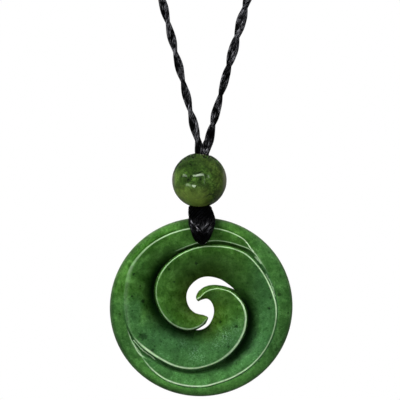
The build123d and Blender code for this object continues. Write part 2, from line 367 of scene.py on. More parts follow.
# Small dark marks in the disc's stone: across, up from its middle, radius, strength.
DISC_MARKS = [
    (-15.2, 2.4, 0.28, 0.9), (-12.8, 1.3, 0.46, 0.95), (-7.5, -4.4, 0.36, 0.9),
    (-14.8, 7.2, 0.32, 0.8), (14.9, -0.3, 0.34, 0.85), (17.1, 2.8, 0.60, 0.7),
    (4.2, -3.3, 0.42, 0.8), (7.8, -4.2, 0.38, 0.8), (-1.1, 9.6, 0.40, 0.8),
    (-7.1, 8.3, 0.40, 0.7), (-12.8, -6.4, 1.10, 0.6), (15.2, 2.0, 0.28, 0.7),
    (-13.4, 4.6, 0.24, 0.8), (-6.0, 5.6, 0.32, 0.7), (2.6, 6.6, 0.28, 0.6),
    (6.0, -8.6, 0.28, 0.7), (12.2, 9.0, 0.30, 0.6), (-10.6, -9.4, 0.34, 0.6),
    (-17.8, -1.6, 0.34, 0.5), (16.6, -9.2, 0.5, 0.5), (-3.0, 12.6, 0.3, 0.5),
]
# And in the bead's.
BEAD_MARKS = [
    (-2.4, 0.2, 0.26, 0.7), (-2.9, 0.6, 0.22, 0.6), (-2.1, -0.3, 0.22, 0.6), (0.25, 0.1, 0.34, 0.7),
    (0.1, -0.5, 0.26, 0.6), (1.3, 0.6, 0.2, 0.5), (3.0, -3.5, 0.3, 0.6), (3.5, -3.45, 0.26, 0.7),
    (3.3, -4.0, 0.35, 0.6), (2.7, -4.5, 0.35, 0.5), (-3.4, -3.4, 0.3, 0.6), (-2.9, -3.9, 0.3, 0.5),
    (-3.2, 2.1, 0.4, 0.4), (2.6, 2.4, 0.5, 0.4), (-4.3, 0.0, 0.4, 0.35), (3.6, 0.5, 0.4, 0.35),
    (1.0, 3.6, 0.5, 0.35), (-1.6, -2.6, 0.5, 0.3), (-1.0, 3.4, 0.4, 0.3), (1.9, -1.6, 0.5, 0.35),
]
# Cracks: across and up at one end, across and up at the other, radius, strength.
BEAD_CRACKS = [
    (-1.85, 1.15, -1.8, 0.2, 0.13, 0.9), (-1.5, 1.38, 0.1, 1.68, 0.14, 0.95),
    (0.1, 1.68, 0.8, 1.95, 0.15, 0.9), (0.7, -3.95, 1.5, -3.55, 0.14, 0.9),
    (1.5, -3.55, 2.6, -3.0, 0.16, 0.9), (2.6, -3.0, 3.6, -3.5, 0.15, 0.8),
    (1.2, 1.2, 1.3, -0.6, 0.12, 0.6), (-3.4, -2.6, -2.3, -3.6, 0.15, 0.6),
    (0.4, -2.9, 1.6, -2.3, 0.12, 0.5), (-3.6, 1.9, -3.0, 0.9, 0.14, 0.5),
    (2.0, 2.7, 3.0, 1.9, 0.14, 0.45), (-0.4, -0.4, 0.2, 0.5, 0.16, 0.6),
]
# Fine cracks in the disc, and painted highlight streaks beside its crests, in the same columns.
DISC_CRACKS = [
    (-16.45, -0.7, -16.1, -4.2, 0.10, 0.5), (-16.1, -4.2, -15.2, -6.4, 0.10, 0.5),
    (-8.2, 1.4, -7.2, -1.6, 0.09, 0.35), (4.6, 11.8, 7.0, 10.6, 0.08, 0.3),
]
DISC_GLINT_STREAKS = [
    (9.85, 14.25, 11.52, 12.14, 0.12, 0.65),
    (11.83, 10.95, 13.15, 9.63, 0.15, 0.55),
    (14.25, 7.21, 15.4, 5.0, 0.12, 0.35),
    (15.4, 5.0, 16.23, 2.4, 0.13, 0.5),
    (-14.78, -7.3, -12.8, -9.5, 0.13, 0.6),
    (-12.8, -9.5, -10.2, -11.4, 0.13, 0.5),
    (-14.78, -7.96, -12.8, -11.04, 0.11, 0.35),
]
disc_stone = stone_material(
    "disc_stone", DISC_COLOURS, 0.62, 1.0, 0.06, 0.3, (0, disc_z), DISC_MARKS, DISC_CRACKS,
    glint_streaks=DISC_GLINT_STREAKS,
)
bead_stone = stone_material(
    "bead_stone", BEAD_COLOURS, 0.85, 0.6, 1.0, 0.36,
    (cord_axis + bead_offset - 0.1, bead_z), BEAD_MARKS, BEAD_CRACKS,
    veins=0.65, uneven=0.12, ior=1.15, contrast=2.0,
)


def cord_material(name, base, streak, glint, filaments, rough, ior, low_shine):
    """Waxed twisted filament: fine dark threads that wind along each strand, and painted glints on them.
    """
    material, n = new_material(name)
    thread = n.attribute("thread", "Vector")
    shine = n.attribute("shine")
    fine = n.noise(thread, filaments, detail=4.0, rough=0.65)
    patches = scaled_noise(n, n.position(), 0.6, detail=3.0)
    colour = n.mix(n.ramp(fine, 0.48, 0.66), rgb(*base), rgb(*streak))
    colour = n.mix(n.ramp(patches, 0.42, 0.6, 0.85, 0.0), colour, rgb(*base))
    bright = n.math("MULTIPLY", n.ramp(fine, 0.51, 0.62), n.ramp(patches, 0.42, 0.56, low_shine, 1.0))
    # Painted glints: bright threads where the shine field is high.
    colour = n.mix(n.math("MULTIPLY", bright, shine), colour, rgb(*glint))
    normal = n.bump(fine, 0.9, 0.1 * MM)
    n.surface(
        Base_Color=colour,
        Roughness=n.ramp(fine, 0.35, 0.65, rough + 0.15, rough - 0.08),
        Normal=normal,
        IOR=ior,
    )
    return material


neck_cord_black = cord_material(
    "neck_cord_black", (0.0006,) * 3, (0.010, 0.010, 0.013), (0.46, 0.46, 0.50), 4.2, 0.42, 1.3, 0.0
)
lashing_black = cord_material(
    "lashing_black", (0.0004,) * 3, (0.006, 0.006, 0.008), (0.70, 0.70, 0.76), 3.2, 0.45, 1.18, 1.0
)


def mesh_piece(name, corners, faces, material, fields=None):
    """A piece in the shared frame from corners in millimetres, with one value a corner a field."""
    mesh = bpy.data.meshes.new(name)
    mesh.from_pydata([point(*corner) for corner in corners], [], faces)
    for field, values in (fields or {}).items():
        if isinstance(values[0], tuple):
            layer = mesh.attributes.new(field, "FLOAT_VECTOR", "POINT")
            layer.data.foreach_set("vector", [part for value in values for part in value])
        else:
            layer = mesh.attributes.new(field, "FLOAT", "POINT")
            layer.data.foreach_set("value", values)
    mesh.polygons.foreach_set("use_smooth", [True] * len(faces))
    mesh.materials.append(material)
    made = bpy.data.objects.new(name, mesh)
    bpy.context.scene.collection.objects.link(made)
    return made


weld_reach = 0.0008


def weld(made):
    """Joins corners that lie together and turns every face outwards."""
    work = bmesh.new()
    work.from_mesh(made.data)
    bmesh.ops.remove_doubles(work, verts=work.verts, dist=weld_reach * MM)
    bmesh.ops.dissolve_degenerate(work, edges=work.edges, dist=weld_reach * MM / 4)
    bmesh.ops.recalc_face_normals(work, faces=work.faces)
    work.to_mesh(made.data)
    work.free()
    made.data.update()


# The carving. Two arms spiral out clockwise, each with a crest along its outer side, a wall
# that falls from the crest to a foot, and a lip where the next surface begins. Widths are
# hundredths of the disc's radius in that direction, heights hundredths of crest_rise.
# glint is how pale the crest's line is painted there: a painted highlight, partly wear.
ARM_COLUMNS = ("turn", "crest", "foot", "lip", "crest_h", "foot_h", "lip_h", "glint")
ARM_ONE = [
    (147, 14.3, 0.0, 0.0, 45, 38, 30, 20),
    (150, 14.2, 0.7, 1.3, 55, 42, 30, 25),
    (156, 14.8, 1.0, 2.0, 62, 45, 30, 30),
    (165, 16.4, 1.4, 3.0, 70, 45, 30, 45),
    (180, 20.5, 1.0, 2.1, 78, 50, 30, 62),
    (195, 24.2, 1.6, 2.9, 83, 45, 30, 75),
    (207, 28.0, 1.8, 4.0, 87, 34, 42, 75),
    (219, 31.2, 2.0, 5.2, 90, 28, 46, 70),
    (231, 34.4, 1.8, 7.1, 93, 22, 48, 60),
    (243, 37.7, 2.0, 9.6, 95, 14, 46, 48),
    (255, 41.2, 2.3, 12.0, 96, 6, 42, 38),
    (270, 45.9, 2.7, 14.2, 97, 0, 38, 24),
    (285, 51.5, 2.7, 14.3, 98, 0, 38, 20),
    (300, 55.9, 2.8, 12.9, 100, 6, 46, 15),
    (315, 59.3, 2.6, 9.7, 100, 22, 60, 32),
    (330, 61.8, 2.5, 6.7, 100, 40, 74, 34),
    (345, 64.5, 2.2, 4.8, 100, 54, 86, 40),
    (360, 67.4, 2.6, 4.9, 100, 60, 92, 45),
    (375, 70.1, 3.8, 6.2, 100, 62, 92, 45),
    (390, 74.2, 3.3, 5.5, 98, 62, 90, 40),
    (402, 76.4, 4.0, 6.8, 95, 62, 88, 40),
    (414, 76.8, 2.5, 5.1, 94, 66, 88, 50),
    (426, 77.6, 2.0, 4.1, 95, 72, 88, 60),
    (438, 79.3, 1.7, 2.9, 96, 80, 90, 88),
    (450, 81.9, 1.4, 2.1, 98, 85, 92, 78),
    (465, 83.5, 1.1, 1.8, 100, 90, 93, 45),
    (495, 85.5, 0.9, 1.6, 100, 91, 94, 80),
    (525, 86.8, 0.9, 1.6, 100, 91, 94, 100),
    (540, 89.0, 0.9, 1.6, 100, 91, 94, 100),
    (564, 89.8, 0.8, 1.3, 98, 90, 92, 90),
    (579, 87.7, 0.5, 0.9, 92, 86, 89, 60),
    (591, 84.6, 0.0, 0.0, 86, 86, 86, 30),
]
ARM_TWO = [
    (-33, 9.8, 0.0, 0.0, 45, 38, 30, 20),
    (-30, 10.0, 0.9, 1.7, 50, 40, 30, 40),
    (-24, 10.1, 1.7, 3.5, 56, 42, 30, 55),
    (-15, 10.4, 2.9, 5.6, 62, 44, 30, 55),
    (-6, 11.1, 3.7, 7.3, 68, 46, 30, 50),
    (6, 14.1, 3.7, 7.4, 74, 48, 30, 45),
    (18, 18.1, 3.2, 6.6, 79, 50, 30, 40),
    (30, 22.6, 2.7, 5.4, 83, 52, 30, 35),
    (45, 28.8, 2.0, 4.0, 87, 54, 30, 30),
    (54, 32.4, 2.0, 4.0, 89, 50, 30, 35),
    (63, 36.3, 2.6, 4.8, 91, 40, 30, 52),
    (75, 41.0, 3.1, 7.7, 93, 26, 40, 66),
    (87, 46.0, 2.8, 12.0, 95, 12, 44, 80),
    (99, 49.8, 2.9, 14.1, 97, 2, 40, 85),
    (114, 53.5, 2.8, 14.3, 98, 0, 38, 88),
    (129, 56.6, 2.8, 12.0, 99, 8, 46, 92),
    (144, 59.8, 2.7, 9.4, 100, 22, 58, 90),
    (159, 63.1, 2.7, 8.1, 100, 38, 72, 80),
    (174, 66.0, 2.8, 7.8, 100, 50, 84, 100),
    (189, 69.5, 3.3, 7.3, 100, 58, 90, 100),
    (204, 71.5, 3.2, 6.7, 100, 60, 90, 100),
    (216, 72.5, 3.2, 6.3, 98, 60, 88, 100),
    (225, 73.9, 3.9, 8.0, 96, 62, 87, 100),
    (231, 75.4, 4.9, 9.2, 95, 64, 86, 95),
    (240, 78.5, 2.9, 5.8, 95, 72, 86, 55),
    (249, 81.2, 1.5, 2.7, 95, 82, 88, 5),
    (258, 82.9, 0.7, 1.2, 95, 89, 90, 5),
    (270, 84.1, 0.7, 1.0, 96, 92, 92, 6),
    (285, 86.8, 0.7, 1.1, 97, 93, 93, 7),
    (300, 90.0, 0.8, 1.4, 98, 93, 94, 24),
    (315, 89.7, 0.8, 1.5, 98, 93, 94, 38),
    (345, 89.0, 0.9, 1.6, 98, 92, 94, 58),
    (375, 89.5, 0.8, 1.4, 97, 91, 93, 50),
    (390, 89.1, 0.6, 1.0, 95, 89, 91, 55),
    (396, 87.3, 0.3, 0.6, 92, 88, 89, 60),
    (402, 83.2, 0.0, 0.0, 88, 88, 88, 50),
]

# How pale the lips are painted, in hundredths, a painted highlight along each lip, and how softly the
# crests are rounded, in hundredths of a millimetre.
LIP_GLINT_COLUMNS = ("turn", "glint")
LIP_GLINT_ONE = [
    (147, 0), (333, 0), (340, 60), (360, 75), (390, 85), (403, 95), (412, 50), (425, 0), (591, 0),
]
LIP_GLINT_TWO = [(-33, 0), (226, 0), (231, 65), (240, 85), (248, 60), (254, 0), (402, 0)]
CREST_ROUND_COLUMNS = ("turn", "cut")
CREST_ROUND_ONE = [
    (147, 22), (170, 34), (215, 44), (245, 34), (285, 34), (330, 24), (480, 24), (510, 38),
    (570, 38), (591, 26),
]
CREST_ROUND_TWO = [
    (-33, 24), (60, 26), (85, 44), (150, 50), (172, 30), (195, 36), (232, 40), (244, 26),
    (252, 50), (264, 120), (290, 120), (305, 60), (322, 30), (402, 24),
]

# Painted shade in the valley beside each arm's foot, and beside the edge inside the arm: how dark,
# in hundredths, and how far that reaches, hundredths of a millimetre.
SHADE_COLUMNS = ("turn", "dark", "reach")
VALLEY_ONE = [
    (147, 0, 100), (156, 45, 180), (165, 58, 280), (180, 60, 320), (195, 68, 330), (207, 84, 330),
    (225, 90, 360), (240, 92, 400), (255, 95, 450), (270, 97, 400), (285, 100, 340), (300, 98, 310),
    (315, 92, 320), (330, 66, 260), (345, 62, 110), (360, 62, 55), (390, 50, 50), (402, 36, 45),
    (414, 18, 45), (438, 10, 50), (465, 0, 50), (591, 0, 50),
]
VALLEY_TWO = [
    (-33, 0, 100), (-24, 15, 100), (30, 15, 120), (50, 35, 160), (60, 65, 220), (75, 85, 300),
    (90, 95, 330), (105, 98, 280), (120, 98, 290), (135, 95, 310), (150, 88, 320), (165, 62, 330),
    (180, 46, 260), (195, 45, 120), (210, 54, 95), (225, 46, 90), (240, 30, 80), (249, 50, 70),
    (258, 40, 60), (267, 12, 50), (272, 0, 50), (402, 0, 50),
]
HOLLOW_ONE = [
    (147, 20, 150), (180, 35, 200), (285, 40, 250), (315, 42, 320), (345, 54, 600), (380, 56, 750),
    (423, 52, 650), (435, 30, 400), (450, 0, 200), (591, 0, 200),
]
HOLLOW_TWO = [
    (-33, 10, 100), (45, 15, 150), (90, 22, 200), (125, 35, 250), (150, 54, 400), (180, 62, 550),
    (195, 60, 520), (207, 48, 400), (222, 24, 300), (240, 0, 200), (402, 0, 200),
]

# Edges of the S-shaped hole on the inner side of each arm: turn, and hundredths of the radius.
HOLE_COLUMNS = ("turn", "edge")
HOLE_ONE = [
    (147, 14.3), (150, 12.5), (156, 11.2), (168, 9.4), (186, 8.8), (204, 8.8), (222, 9.5),
    (240, 10.4), (255, 11.8), (270, 13.5), (288, 16.4), (306, 20.2), (321, 23.8), (336, 27.2),
    (348, 30.0), (360, 32.7), (372, 34.6), (384, 35.9), (396, 37.3), (408, 38.5), (423, 41.1),
]
HOLE_TWO = [
    (-33, 9.8), (-30, 7.8), (-24, 6.8), (-9, 7.3), (3, 7.9), (20, 9.2), (36, 11.0),
    (54, 12.0), (71, 12.5), (91, 13.5), (108, 14.9), (127, 16.9), (144, 19.5), (159, 22.5),
    (170, 24.4), (181, 25.8), (195, 27.1),
]
hole_edge_h = 30
swell = 2.0

# Roundings of the carving, millimetres.
foot_round = 0.35
hole_round = 0.35
round_fade = 14           # degrees over which a rounding fades out at the end of the hole
# The pale line on each side of a lip is a painted highlight.
lip_width = 0.22          # width of the pale line on each side of a lip
TOP_STEPS = 13            # points across an arm's top
ROUND_STEPS = 6
WALL_STEPS = 4
RISE_STEPS = 5
# The pale points over a crest carry its painted highlight, partly wear.
RIDGE_SHARES = (0.0, 0.4, 1.0, 1.0, 1.0, 0.5, 0.0)    # how pale the points over a crest are


def follow(columns, table, name, turn):
    """Value of a column at a turn, on a smooth line through the rows that adds no bumps."""
    rows = [(row[0], row[columns.index(name)]) for row in table]
    slopes = [(v1 - v0) / (t1 - t0) for (t0, v0), (t1, v1) in zip(rows, rows[1:])]
    tangents = [slopes[0]]
    for before, after in zip(slopes, slopes[1:]):
        same_way = before * after > 0
        tangents.append(2 * before * after / (before + after) if same_way else 0)
    tangents.append(slopes[-1])
    for i, ((t0, v0), (t1, v1)) in enumerate(zip(rows, rows[1:])):
        if turn <= t1:
            break
    span = t1 - t0
    u = (turn - t0) / span
    return (
        v0 * (1 + 2 * u) * (1 - u) ** 2
        + tangents[i] * span * u * (1 - u) ** 2
        + v1 * u * u * (3 - 2 * u)
        + tangents[i + 1] * span * u * u * (u - 1)
    )


def fade(value, low, high):
    """0 below low, 1 above high, and smooth between."""
    u = min(1, max(0, (value - low) / (high - low)))
    return u * u * (3 - 2 * u)


def bend(start, corner, end, steps):
    """Points on a smooth bend from start to end that heads for the corner."""
    made = []
    for i in range(steps + 1):
        u = i / steps
        made.append(tuple(
            a * (1 - u) ** 2 + 2 * b * u * (1 - u) + c * u * u for a, b, c in zip(start, corner, end)
        ))
    return made


def toward(start, end, length):
    """The point at a length from start towards end, but before half way."""
    whole = math.dist(start, end)
    share = min(length / whole, 0.45) if whole > 1e-9 else 0
    return tuple(a + (b - a) * share for a, b in zip(start, end))


def between(start, end, steps):
    """Points strictly between two points."""
    return [
        tuple(a + (b - a) * i / steps for a, b in zip(start, end)) for i in range(1, steps)
    ]


class Arm:
    """One spiral arm: its table, the hole's edge inside it, and the arm it lies against."""

    def __init__(self, table, hole, lip_glint, crest_round, valley, hollow, offset):
        self.table = table
        self.hole = hole
        self.valley = valley
        self.hollow = hollow
        self.lip_glint = lip_glint
        self.crest_round = crest_round
        self.offset = offset
        self.start = table[0][0]
        self.end = table[-1][0]
        self.hole_end = hole[-1][0]

    def at(self, name, turn):
        return follow(ARM_COLUMNS, self.table, name, turn)

    def lip(self, turn):
        """Share and height of the outer lip."""
        return self.at("crest", turn) + self.at("lip", turn), self.at("lip_h", turn)

    def inner(self, turn):
        """Share and height of the inner edge: the hole's edge, then the other arm's lip."""
        if turn < self.hole_end:
            return follow(HOLE_COLUMNS, self.hole, "edge", turn), hole_edge_h
        return self.other.lip(turn - self.offset)

    def lip_end(self):
        """The turn at which the outer lip stops being an edge of the hole."""
        return self.other.hole_end - self.other.offset

    def beyond_shade(self, turn):
        """How dark the other arm's surface is where it begins at this arm's lip."""
        turned = turn + self.other.offset
        if self.other.hole_end <= turned <= self.other.end:
            return self.other.hollow_shade(turned, 0)
        return 0.0

    def painted_lip_glint(self, turn):
        return follow(LIP_GLINT_COLUMNS, self.lip_glint, "glint", turn) / 100

    def valley_shade(self, turn, out):
        """How dark the valley beside the arm's foot makes a place at a distance from the middle."""
        radius = disc_radius(turn) / 100
        dark = follow(SHADE_COLUMNS, self.valley, "dark", turn) / 100
        reach = follow(SHADE_COLUMNS, self.valley, "reach", turn) / 100
        crest = self.at("crest", turn) * radius
        foot = crest + self.at("foot", turn) * radius
        if out < foot:
            return dark * fade(out, crest + 0.1, foot)
        return dark * (1 - fade(out - foot, 0.1 * reach, reach))

    def hollow_shade(self, turn, inward):
        """How dark a place is at a distance from the arm's inner edge."""
        dark = follow(SHADE_COLUMNS, self.hollow, "dark", turn) / 100
        reach = follow(SHADE_COLUMNS, self.hollow, "reach", turn) / 100
        return dark * (1 - fade(inward, 0, reach))

    def section(self, turn):
        """Front line across the arm as (place, painted highlight, painted shade) and back line, with
        both walls.
        """
        radius = disc_radius(turn) / 100
        rise = crest_rise / 100
        low, low_h = self.inner(turn)
        low_at = (low * radius, low_h * rise)
        beside = turn >= self.hole_end
        inner_pale = self.other.painted_lip_glint(turn - self.offset) if beside else 0.0
        if turn == self.end:
            steps = TOP_STEPS + 4 * ROUND_STEPS + WALL_STEPS + RISE_STEPS + 1
            back = (low_at[0], -back_depth)
            dark = self.other.valley_shade(turn - self.offset, low_at[0])
            return [(low_at, inner_pale, dark)] * steps, [back] * 2, [], []
        crest, crest_h = self.at("crest", turn), self.at("crest_h", turn)
        crest_at = (crest * radius, crest_h * rise)
        foot_at = ((crest + self.at("foot", turn)) * radius, self.at("foot_h", turn) * rise)
        lip, lip_h = self.lip(turn)
        lip_at = (lip * radius, lip_h * rise)
        if turn == self.start:
            crest_at = foot_at = lip_at = low_at

        width = lip_at[0] - low_at[0]
        fade_in = min(1, (self.hole_end - turn) / round_fade) if turn < self.hole_end else 0
        fade_out = min(1, (self.lip_end() - turn) / round_fade) if turn < self.lip_end() else 0
        inner_cut = min(hole_round * fade_in, 0.3 * width)
        outer_cut = min(hole_round * fade_out, 0.3 * width)

        def top(share):
            height = low_at[1] + (crest_at[1] - low_at[1]) * (1 - (1 - share) ** swell)
            return (low_at[0] + (crest_at[0] - low_at[0]) * share, height)

        def dark_top(place):
            hollow = self.hollow_shade(turn, place[0] - low_at[0])
            valley = self.other.valley_shade(turn - self.offset, place[0]) if beside else 0.0
            return 1 - (1 - hollow) * (1 - valley)

        crest_cut = follow(CREST_ROUND_COLUMNS, self.crest_round, "cut", turn) / 100
        span = crest_at[0] - low_at[0]
        first = min(max(inner_cut, lip_width) / span, 0.3) if span > 1e-6 else 0
        last = 1 - min(crest_cut / span, 0.3) if span > 1e-6 else 1
        front = []
        inner_edge = bend((low_at[0], low_at[1] - inner_cut), low_at, top(first), ROUND_STEPS)
        for i, p in enumerate(inner_edge):
            front.append((p, inner_pale * (1 - i / ROUND_STEPS), dark_top(p)))
        for i in range(1, TOP_STEPS):
            p = top(first + (last - first) * i / TOP_STEPS)
            front.append((p, 0.0, dark_top(p)))
        wall_top = toward(crest_at, foot_at, crest_cut)
        glint = self.at("glint", turn) / 100
        for i, p in enumerate(bend(top(last), crest_at, wall_top, ROUND_STEPS)):
            front.append((p, glint * RIDGE_SHARES[i], dark_top(p)))
        wall_end = toward(foot_at, crest_at, foot_round)
        rise_start = toward(foot_at, lip_at, foot_round)
        lip_in = toward(lip_at, rise_start, max(outer_cut, lip_width))
        lip_down = (lip_at[0], lip_at[1] - outer_cut)
        low_part = between(wall_top, wall_end, WALL_STEPS)
        low_part += bend(wall_end, foot_at, rise_start, ROUND_STEPS)
        low_part += between(rise_start, lip_in, RISE_STEPS)
        front += [(p, 0.0, self.valley_shade(turn, p[0])) for p in low_part]
        lip_pale = self.painted_lip_glint(turn)
        beyond = self.beyond_shade(turn)
        for i, p in enumerate(bend(lip_in, lip_at, lip_down, ROUND_STEPS)):
            share = i / ROUND_STEPS
            dark = 1 - (1 - self.valley_shade(turn, p[0])) * (1 - beyond * share)
            front.append((p, lip_pale * share, dark))

        inner_back, outer_back = (low_at[0], -back_depth), (lip_at[0], -back_depth)
        inner_wall, outer_wall = [], []
        if turn <= self.hole_end:
            turned = (inner_back[0] + inner_cut, -back_depth)
            edge = bend(turned, inner_back, (inner_back[0], -back_depth + inner_cut), ROUND_STEPS)
            inner_wall = edge + between(edge[-1], front[0][0], WALL_STEPS) + [front[0][0]]
            inner_back = turned
        if turn <= self.lip_end():
            turned = (outer_back[0] - outer_cut, -back_depth)
            edge = bend(turned, outer_back, (outer_back[0], -back_depth + outer_cut), ROUND_STEPS)
            outer_wall = edge + between(edge[-1], lip_down, WALL_STEPS) + [lip_down]
            outer_back = turned
        return front, [outer_back, inner_back], inner_wall, outer_wall


arm_one = Arm(
    ARM_ONE, HOLE_ONE, LIP_GLINT_ONE, CREST_ROUND_ONE, VALLEY_ONE, HOLLOW_ONE, FULL_TURN
)
arm_two = Arm(
    ARM_TWO, HOLE_TWO, LIP_GLINT_TWO, CREST_ROUND_TWO, VALLEY_TWO, HOLLOW_TWO, 0
)
arm_one.other = arm_two
arm_two.other = arm_one


class Surface:
    """Corners and faces of a piece in the making, in millimetres, with values at the corners."""

    def __init__(self, *fields):
        self.corners = []
        self.faces = []
        self.fields = {name: [] for name in fields}

    def line(self, corners, **values):
        """Adds a line of corners and returns their numbers."""
        first = len(self.corners)
        self.corners += corners
        for name, kept in self.fields.items():
            kept += values.get(name) or [0.0] * len(corners)
        return list(range(first, len(self.corners)))

    def strip(self, left, right, closed=False):
        """Faces between two lines with as many corners each."""
        lefts, rights = list(left), list(right)
        if closed:
            lefts, rights = lefts + lefts[:1], rights + rights[:1]
        for a, b, c, d in zip(lefts, lefts[1:], rights[1:], rights):
            self.faces.append((a, b, c, d))

    def tube(self, rows):
        """Faces between closed lines, and over both ends."""
        for left, right in zip(rows, rows[1:]):
            self.strip(left, right, closed=True)
        self.faces.append(tuple(reversed(rows[0])))
        self.faces.append(tuple(rows[-1]))


def on_disc(turn, out, height):
    """A point of the disc: its direction, the distance from the middle and the height."""
    angle = math.radians(turn)
    return (out * math.sin(angle), hang_y - height, disc_z + out * math.cos(angle))


# Points from the outermost lip over the rim: share of the way out, and share of the way from
# the lip's height down to rim_rise. Then the edge: inward as shares of rim_roll, and depth as
# shares of back_depth.
RIM_FRONT = [
    (0.05, 0.01), (0.15, 0.04), (0.3, 0.1), (0.45, 0.18), (0.6, 0.28), (0.72, 0.39), (0.82, 0.52),
    (0.9, 0.67), (0.95, 0.8),
]
# The lip's line is a painted highlight and its shade a painted shade.
RIM_NEAR = (1.0, 0.08)    # how much the lip's line and shade hold at the rim's first points
RIM_EDGE = [
    (0, 0), (0, -0.2), (0.02, -0.45), (0.07, -0.62), (0.15, -0.76), (0.28, -0.87), (0.45, -0.94),
    (0.7, -0.985), (1, -1),
]

warm_reach = 2.3          # the warmer tone round the hole fades out over this distance
# The greyer border of the rim is painted shade.
edge_reach = 0.7          # width of the greyer border of the rim
edge_share = 0.6
wall_warm = 0.8           # how warm the walls of the hole are
rim_shade = 0.75          # how dark the lashing's shadow makes the rim beside it
band_shade = 0.4          # and the carving below the rim

# Soft patches of the disc's front: across, up from its middle, radius, strength. Pale speckles, partly
# the stone's frost and partly painted sheen, lie in the lower bowl, a painted glow brightens one tip and
# the left side, and painted shade darkens other places.
FROST_AND_SHEEN_PATCHES = [
    (-1.4, -10.3, 1.2, 0.8), (0.2, -11.2, 0.9, 0.5), (5.2, -6.4, 1.5, 0.55), (3.4, -8.0, 1.2, 0.4),
    (7.4, -5.0, 1.0, 0.4), (-4.0, -7.6, 1.2, 0.3),
]
PAINTED_GLOW_PATCHES = [
    (2.4, 2.3, 1.4, 0.4), (-17.0, 3.0, 2.2, 0.15), (-13.5, -10.5, 2.0, 0.25), (-14.0, 9.0, 2.0, 0.36),
    (-15.8, 6.4, 1.8, 0.22), (-15.0, -7.0, 2.4, 0.2),
]
PAINTED_SHADE_PATCHES = [
    (-5.2, 9.2, 3.6, 0.32), (0.0, 8.8, 2.8, 0.12), (6.8, 9.0, 3.2, 0.2), (-2.8, -3.2, 2.6, 0.28),
    (6.0, 1.2, 2.8, 0.24), (1.4, -6.0, 2.0, 0.22), (-4.0, -9.6, 4.0, 0.2), (7.4, -8.0, 3.0, 0.14),
    (1.8, 4.6, 1.0, 0.25), (-4.3, -0.2, 1.9, 0.45), (-4.7, 2.2, 1.9, 0.35), (11.2, 5.0, 3.4, 0.28),
    (9.0, 9.4, 2.4, 0.2), (-10.2, 4.6, 2.0, 0.3), (6.8, -14.2, 2.4, 0.22), (-8.0, -15.6, 2.4, 0.25),
    (-11.4, -6.6, 2.4, 0.2), (11.8, -9.0, 2.4, 0.16),
]


def patched(corner, patches):
    """How strong the patches are at a corner."""
    most = 0.0
    for across, up, radius, strength in patches:
        away = math.hypot(corner[0] - across, corner[2] - disc_z - up)
        most = max(most, strength * math.exp(-((away / radius) ** 2)))
    return most


def glowing(corner):
    """Painted glow towards the bottom of the disc, as if light came through the stone from below."""
    return fade(disc_z - corner[2], 7, 18)


def beside_lashing(corner):
    """1 close to the lashing, 0 away from it."""
    return (1 - fade(abs(corner[0] - lash_offset), 2.6, 7)) * fade(corner[2] - hole_z, -1.5, 1)


def border_shade(turn, inward):
    """How dark the line close to the rim's edge is, most on the lower left."""
    near = fade(turn % FULL_TURN, 170, 215) * (1 - fade(turn % FULL_TURN, 300, 345))
    return (0.12 + 0.3 * near) * math.exp(-((inward - 0.55) / 0.3) ** 2)


def coolness(corner):
    """How bluish the stone is: most below the middle and at the right, least round the hole."""
    across, up = corner[0], corner[2] - disc_z
    right, left = 0.9 * fade(across, 8, 14), 0.8 * fade(-across, 12, 14) * fade(-up, -4, 0)
    side = max(fade(-up, -1, 7), right, left)
    return side * fade(math.hypot(across, up), 5, 9)


def add_arm(shape, arm):
    """An arm's front, its back and its walls in the hole."""
    before = None
    for turn in range(arm.start, arm.end + 1):
        front, back, inner_wall, outer_wall = arm.section(turn)
        low = front[0][0][0]
        corners = [on_disc(turn, *p) for p, _, _ in front]
        hole_fade = 1 - fade(turn, arm.hole_end - 50, arm.hole_end)
        # Values at the corners: painted highlight on crests and lips, painted glow, and painted shade in
        # the valleys, round the hole, beside the lashing and in patches.
        rows = {
            "front": shape.line(
                corners,
                ridge=[r for _, r, _ in front],
                warm=[hole_fade * math.exp(-max(0.0, p[0] - low) / warm_reach) for p, _, _ in front],
                cool=[coolness(c) for c in corners],
                frost=[patched(c, FROST_AND_SHEEN_PATCHES) for c in corners],
                thin=[max(0.3 * glowing(c), patched(c, PAINTED_GLOW_PATCHES)) for c in corners],
                deep=[
                    1 - (1 - dark) * (1 - band_shade * beside_lashing(c))
                    * (1 - patched(c, PAINTED_SHADE_PATCHES))
                    for (_, _, dark), c in zip(front, corners)
                ],
            ),
            "back": shape.line([on_disc(turn, *p) for p in back]),
        }
        for name, wall in (("inner", inner_wall), ("outer", outer_wall)):
            rows[name] = shape.line([on_disc(turn, *p) for p in wall], warm=[wall_warm] * len(wall))
        if before:
            for name, row in rows.items():
                if row and before[name]:
                    shape.strip(before[name], row)
        before = rows


